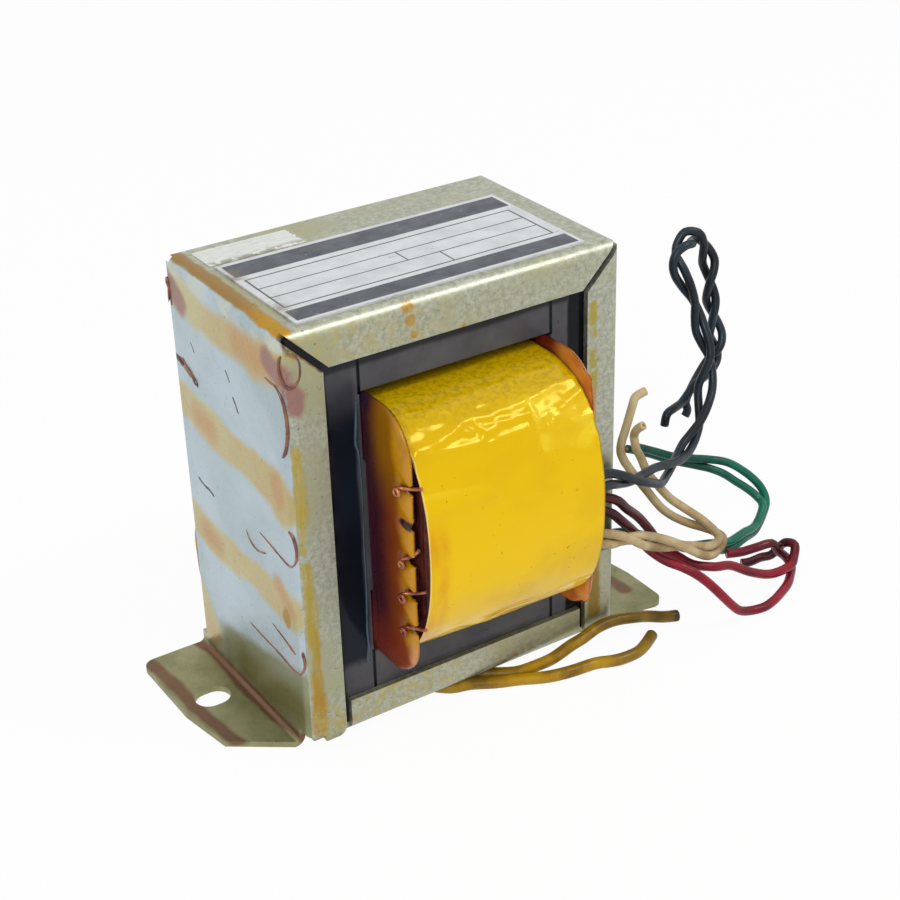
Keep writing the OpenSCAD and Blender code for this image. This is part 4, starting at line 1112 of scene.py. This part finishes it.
# Sticker: white paper behind the nameplate, torn away at its right end, where the
# layers have split and the fibres stand up. It is left blank.
paper = Finish("torn white paper", "dcdedb", 0.8)
fibre = paper.node("VectorMath", {0: paper.place, 1: (1, 3, 1)}, operation="MULTIPLY")
tone = paper.mix(paper.fade(paper.noise(500, 4, 0.7, 0.8, fibre), 0.35, 0.7), "e6e8e5", "d4d6d1")
soiled = paper.times(paper.fade(paper.noise(130, 4, 0.65), 0.55, 0.75), 0.4)
tone = paper.mix(soiled, tone, "b3ac92")
torn_edge = paper.times(paper.past(paper.axis("Y", paper.stirred(300, 1.6)), 10.6, 9.4), 0.8)
split = paper.mix(paper.fade(paper.noise(700, 3), 0.4, 0.6), "8f8b78", "eceeeb")
paper.colour(paper.mix(torn_edge, tone, split))
paper.relief(paper.noise(900, 4, 0.7, 0.5, fibre), 0.07)
low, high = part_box("sticker")
rng = np.random.default_rng(12)
tear_rows, across_rows = 26, 40


def torn_back(k):
    """How far the tear has gone in from the sheet's end at a row, in millimetres."""
    return 0.2 + 1.6 * abs(noise.noise(Vector((k * 0.45, 2.2, 0)))) + 0.5 * rng.random()


tear_front = [high[0] - mm * torn_back(k) for k in range(tear_rows + 1)]
verts, faces = [], []
for k in range(tear_rows + 1):
    v = low[1] + (high[1] - low[1]) * k / tear_rows
    for i in range(across_rows + 1):
        u = i / across_rows
        fray = 0.12 * mm * noise.noise(Vector((i * 0.8, 0, 5))) if k == 0 else 0
        verts.append((low[0] + (tear_front[k] - low[0]) * u, v + fray, high[2]))
under = len(verts)
verts += [(vx, vy, low[2]) for vx, vy, _ in verts]
stride = across_rows + 1
for k in range(tear_rows):
    for i in range(across_rows):
        a = k * stride + i
        quad = (a, a + 1, a + stride + 1, a + stride)
        faces += [quad, tuple(under + c for c in quad[::-1])]
rim = [*range(across_rows), *[k * stride + across_rows for k in range(tear_rows)]]
rim += [tear_rows * stride + i for i in range(across_rows, 0, -1)]
rim += [k * stride for k in range(tear_rows, 0, -1)]
for a, b in zip(rim, rim[1:] + rim[:1]):
    faces.append((a, under + a, under + b, b))
label = piece("paper_sticker", verts, faces, paper)
label.data.polygons.foreach_set("use_smooth", [False] * len(label.data.polygons))
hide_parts("sticker")
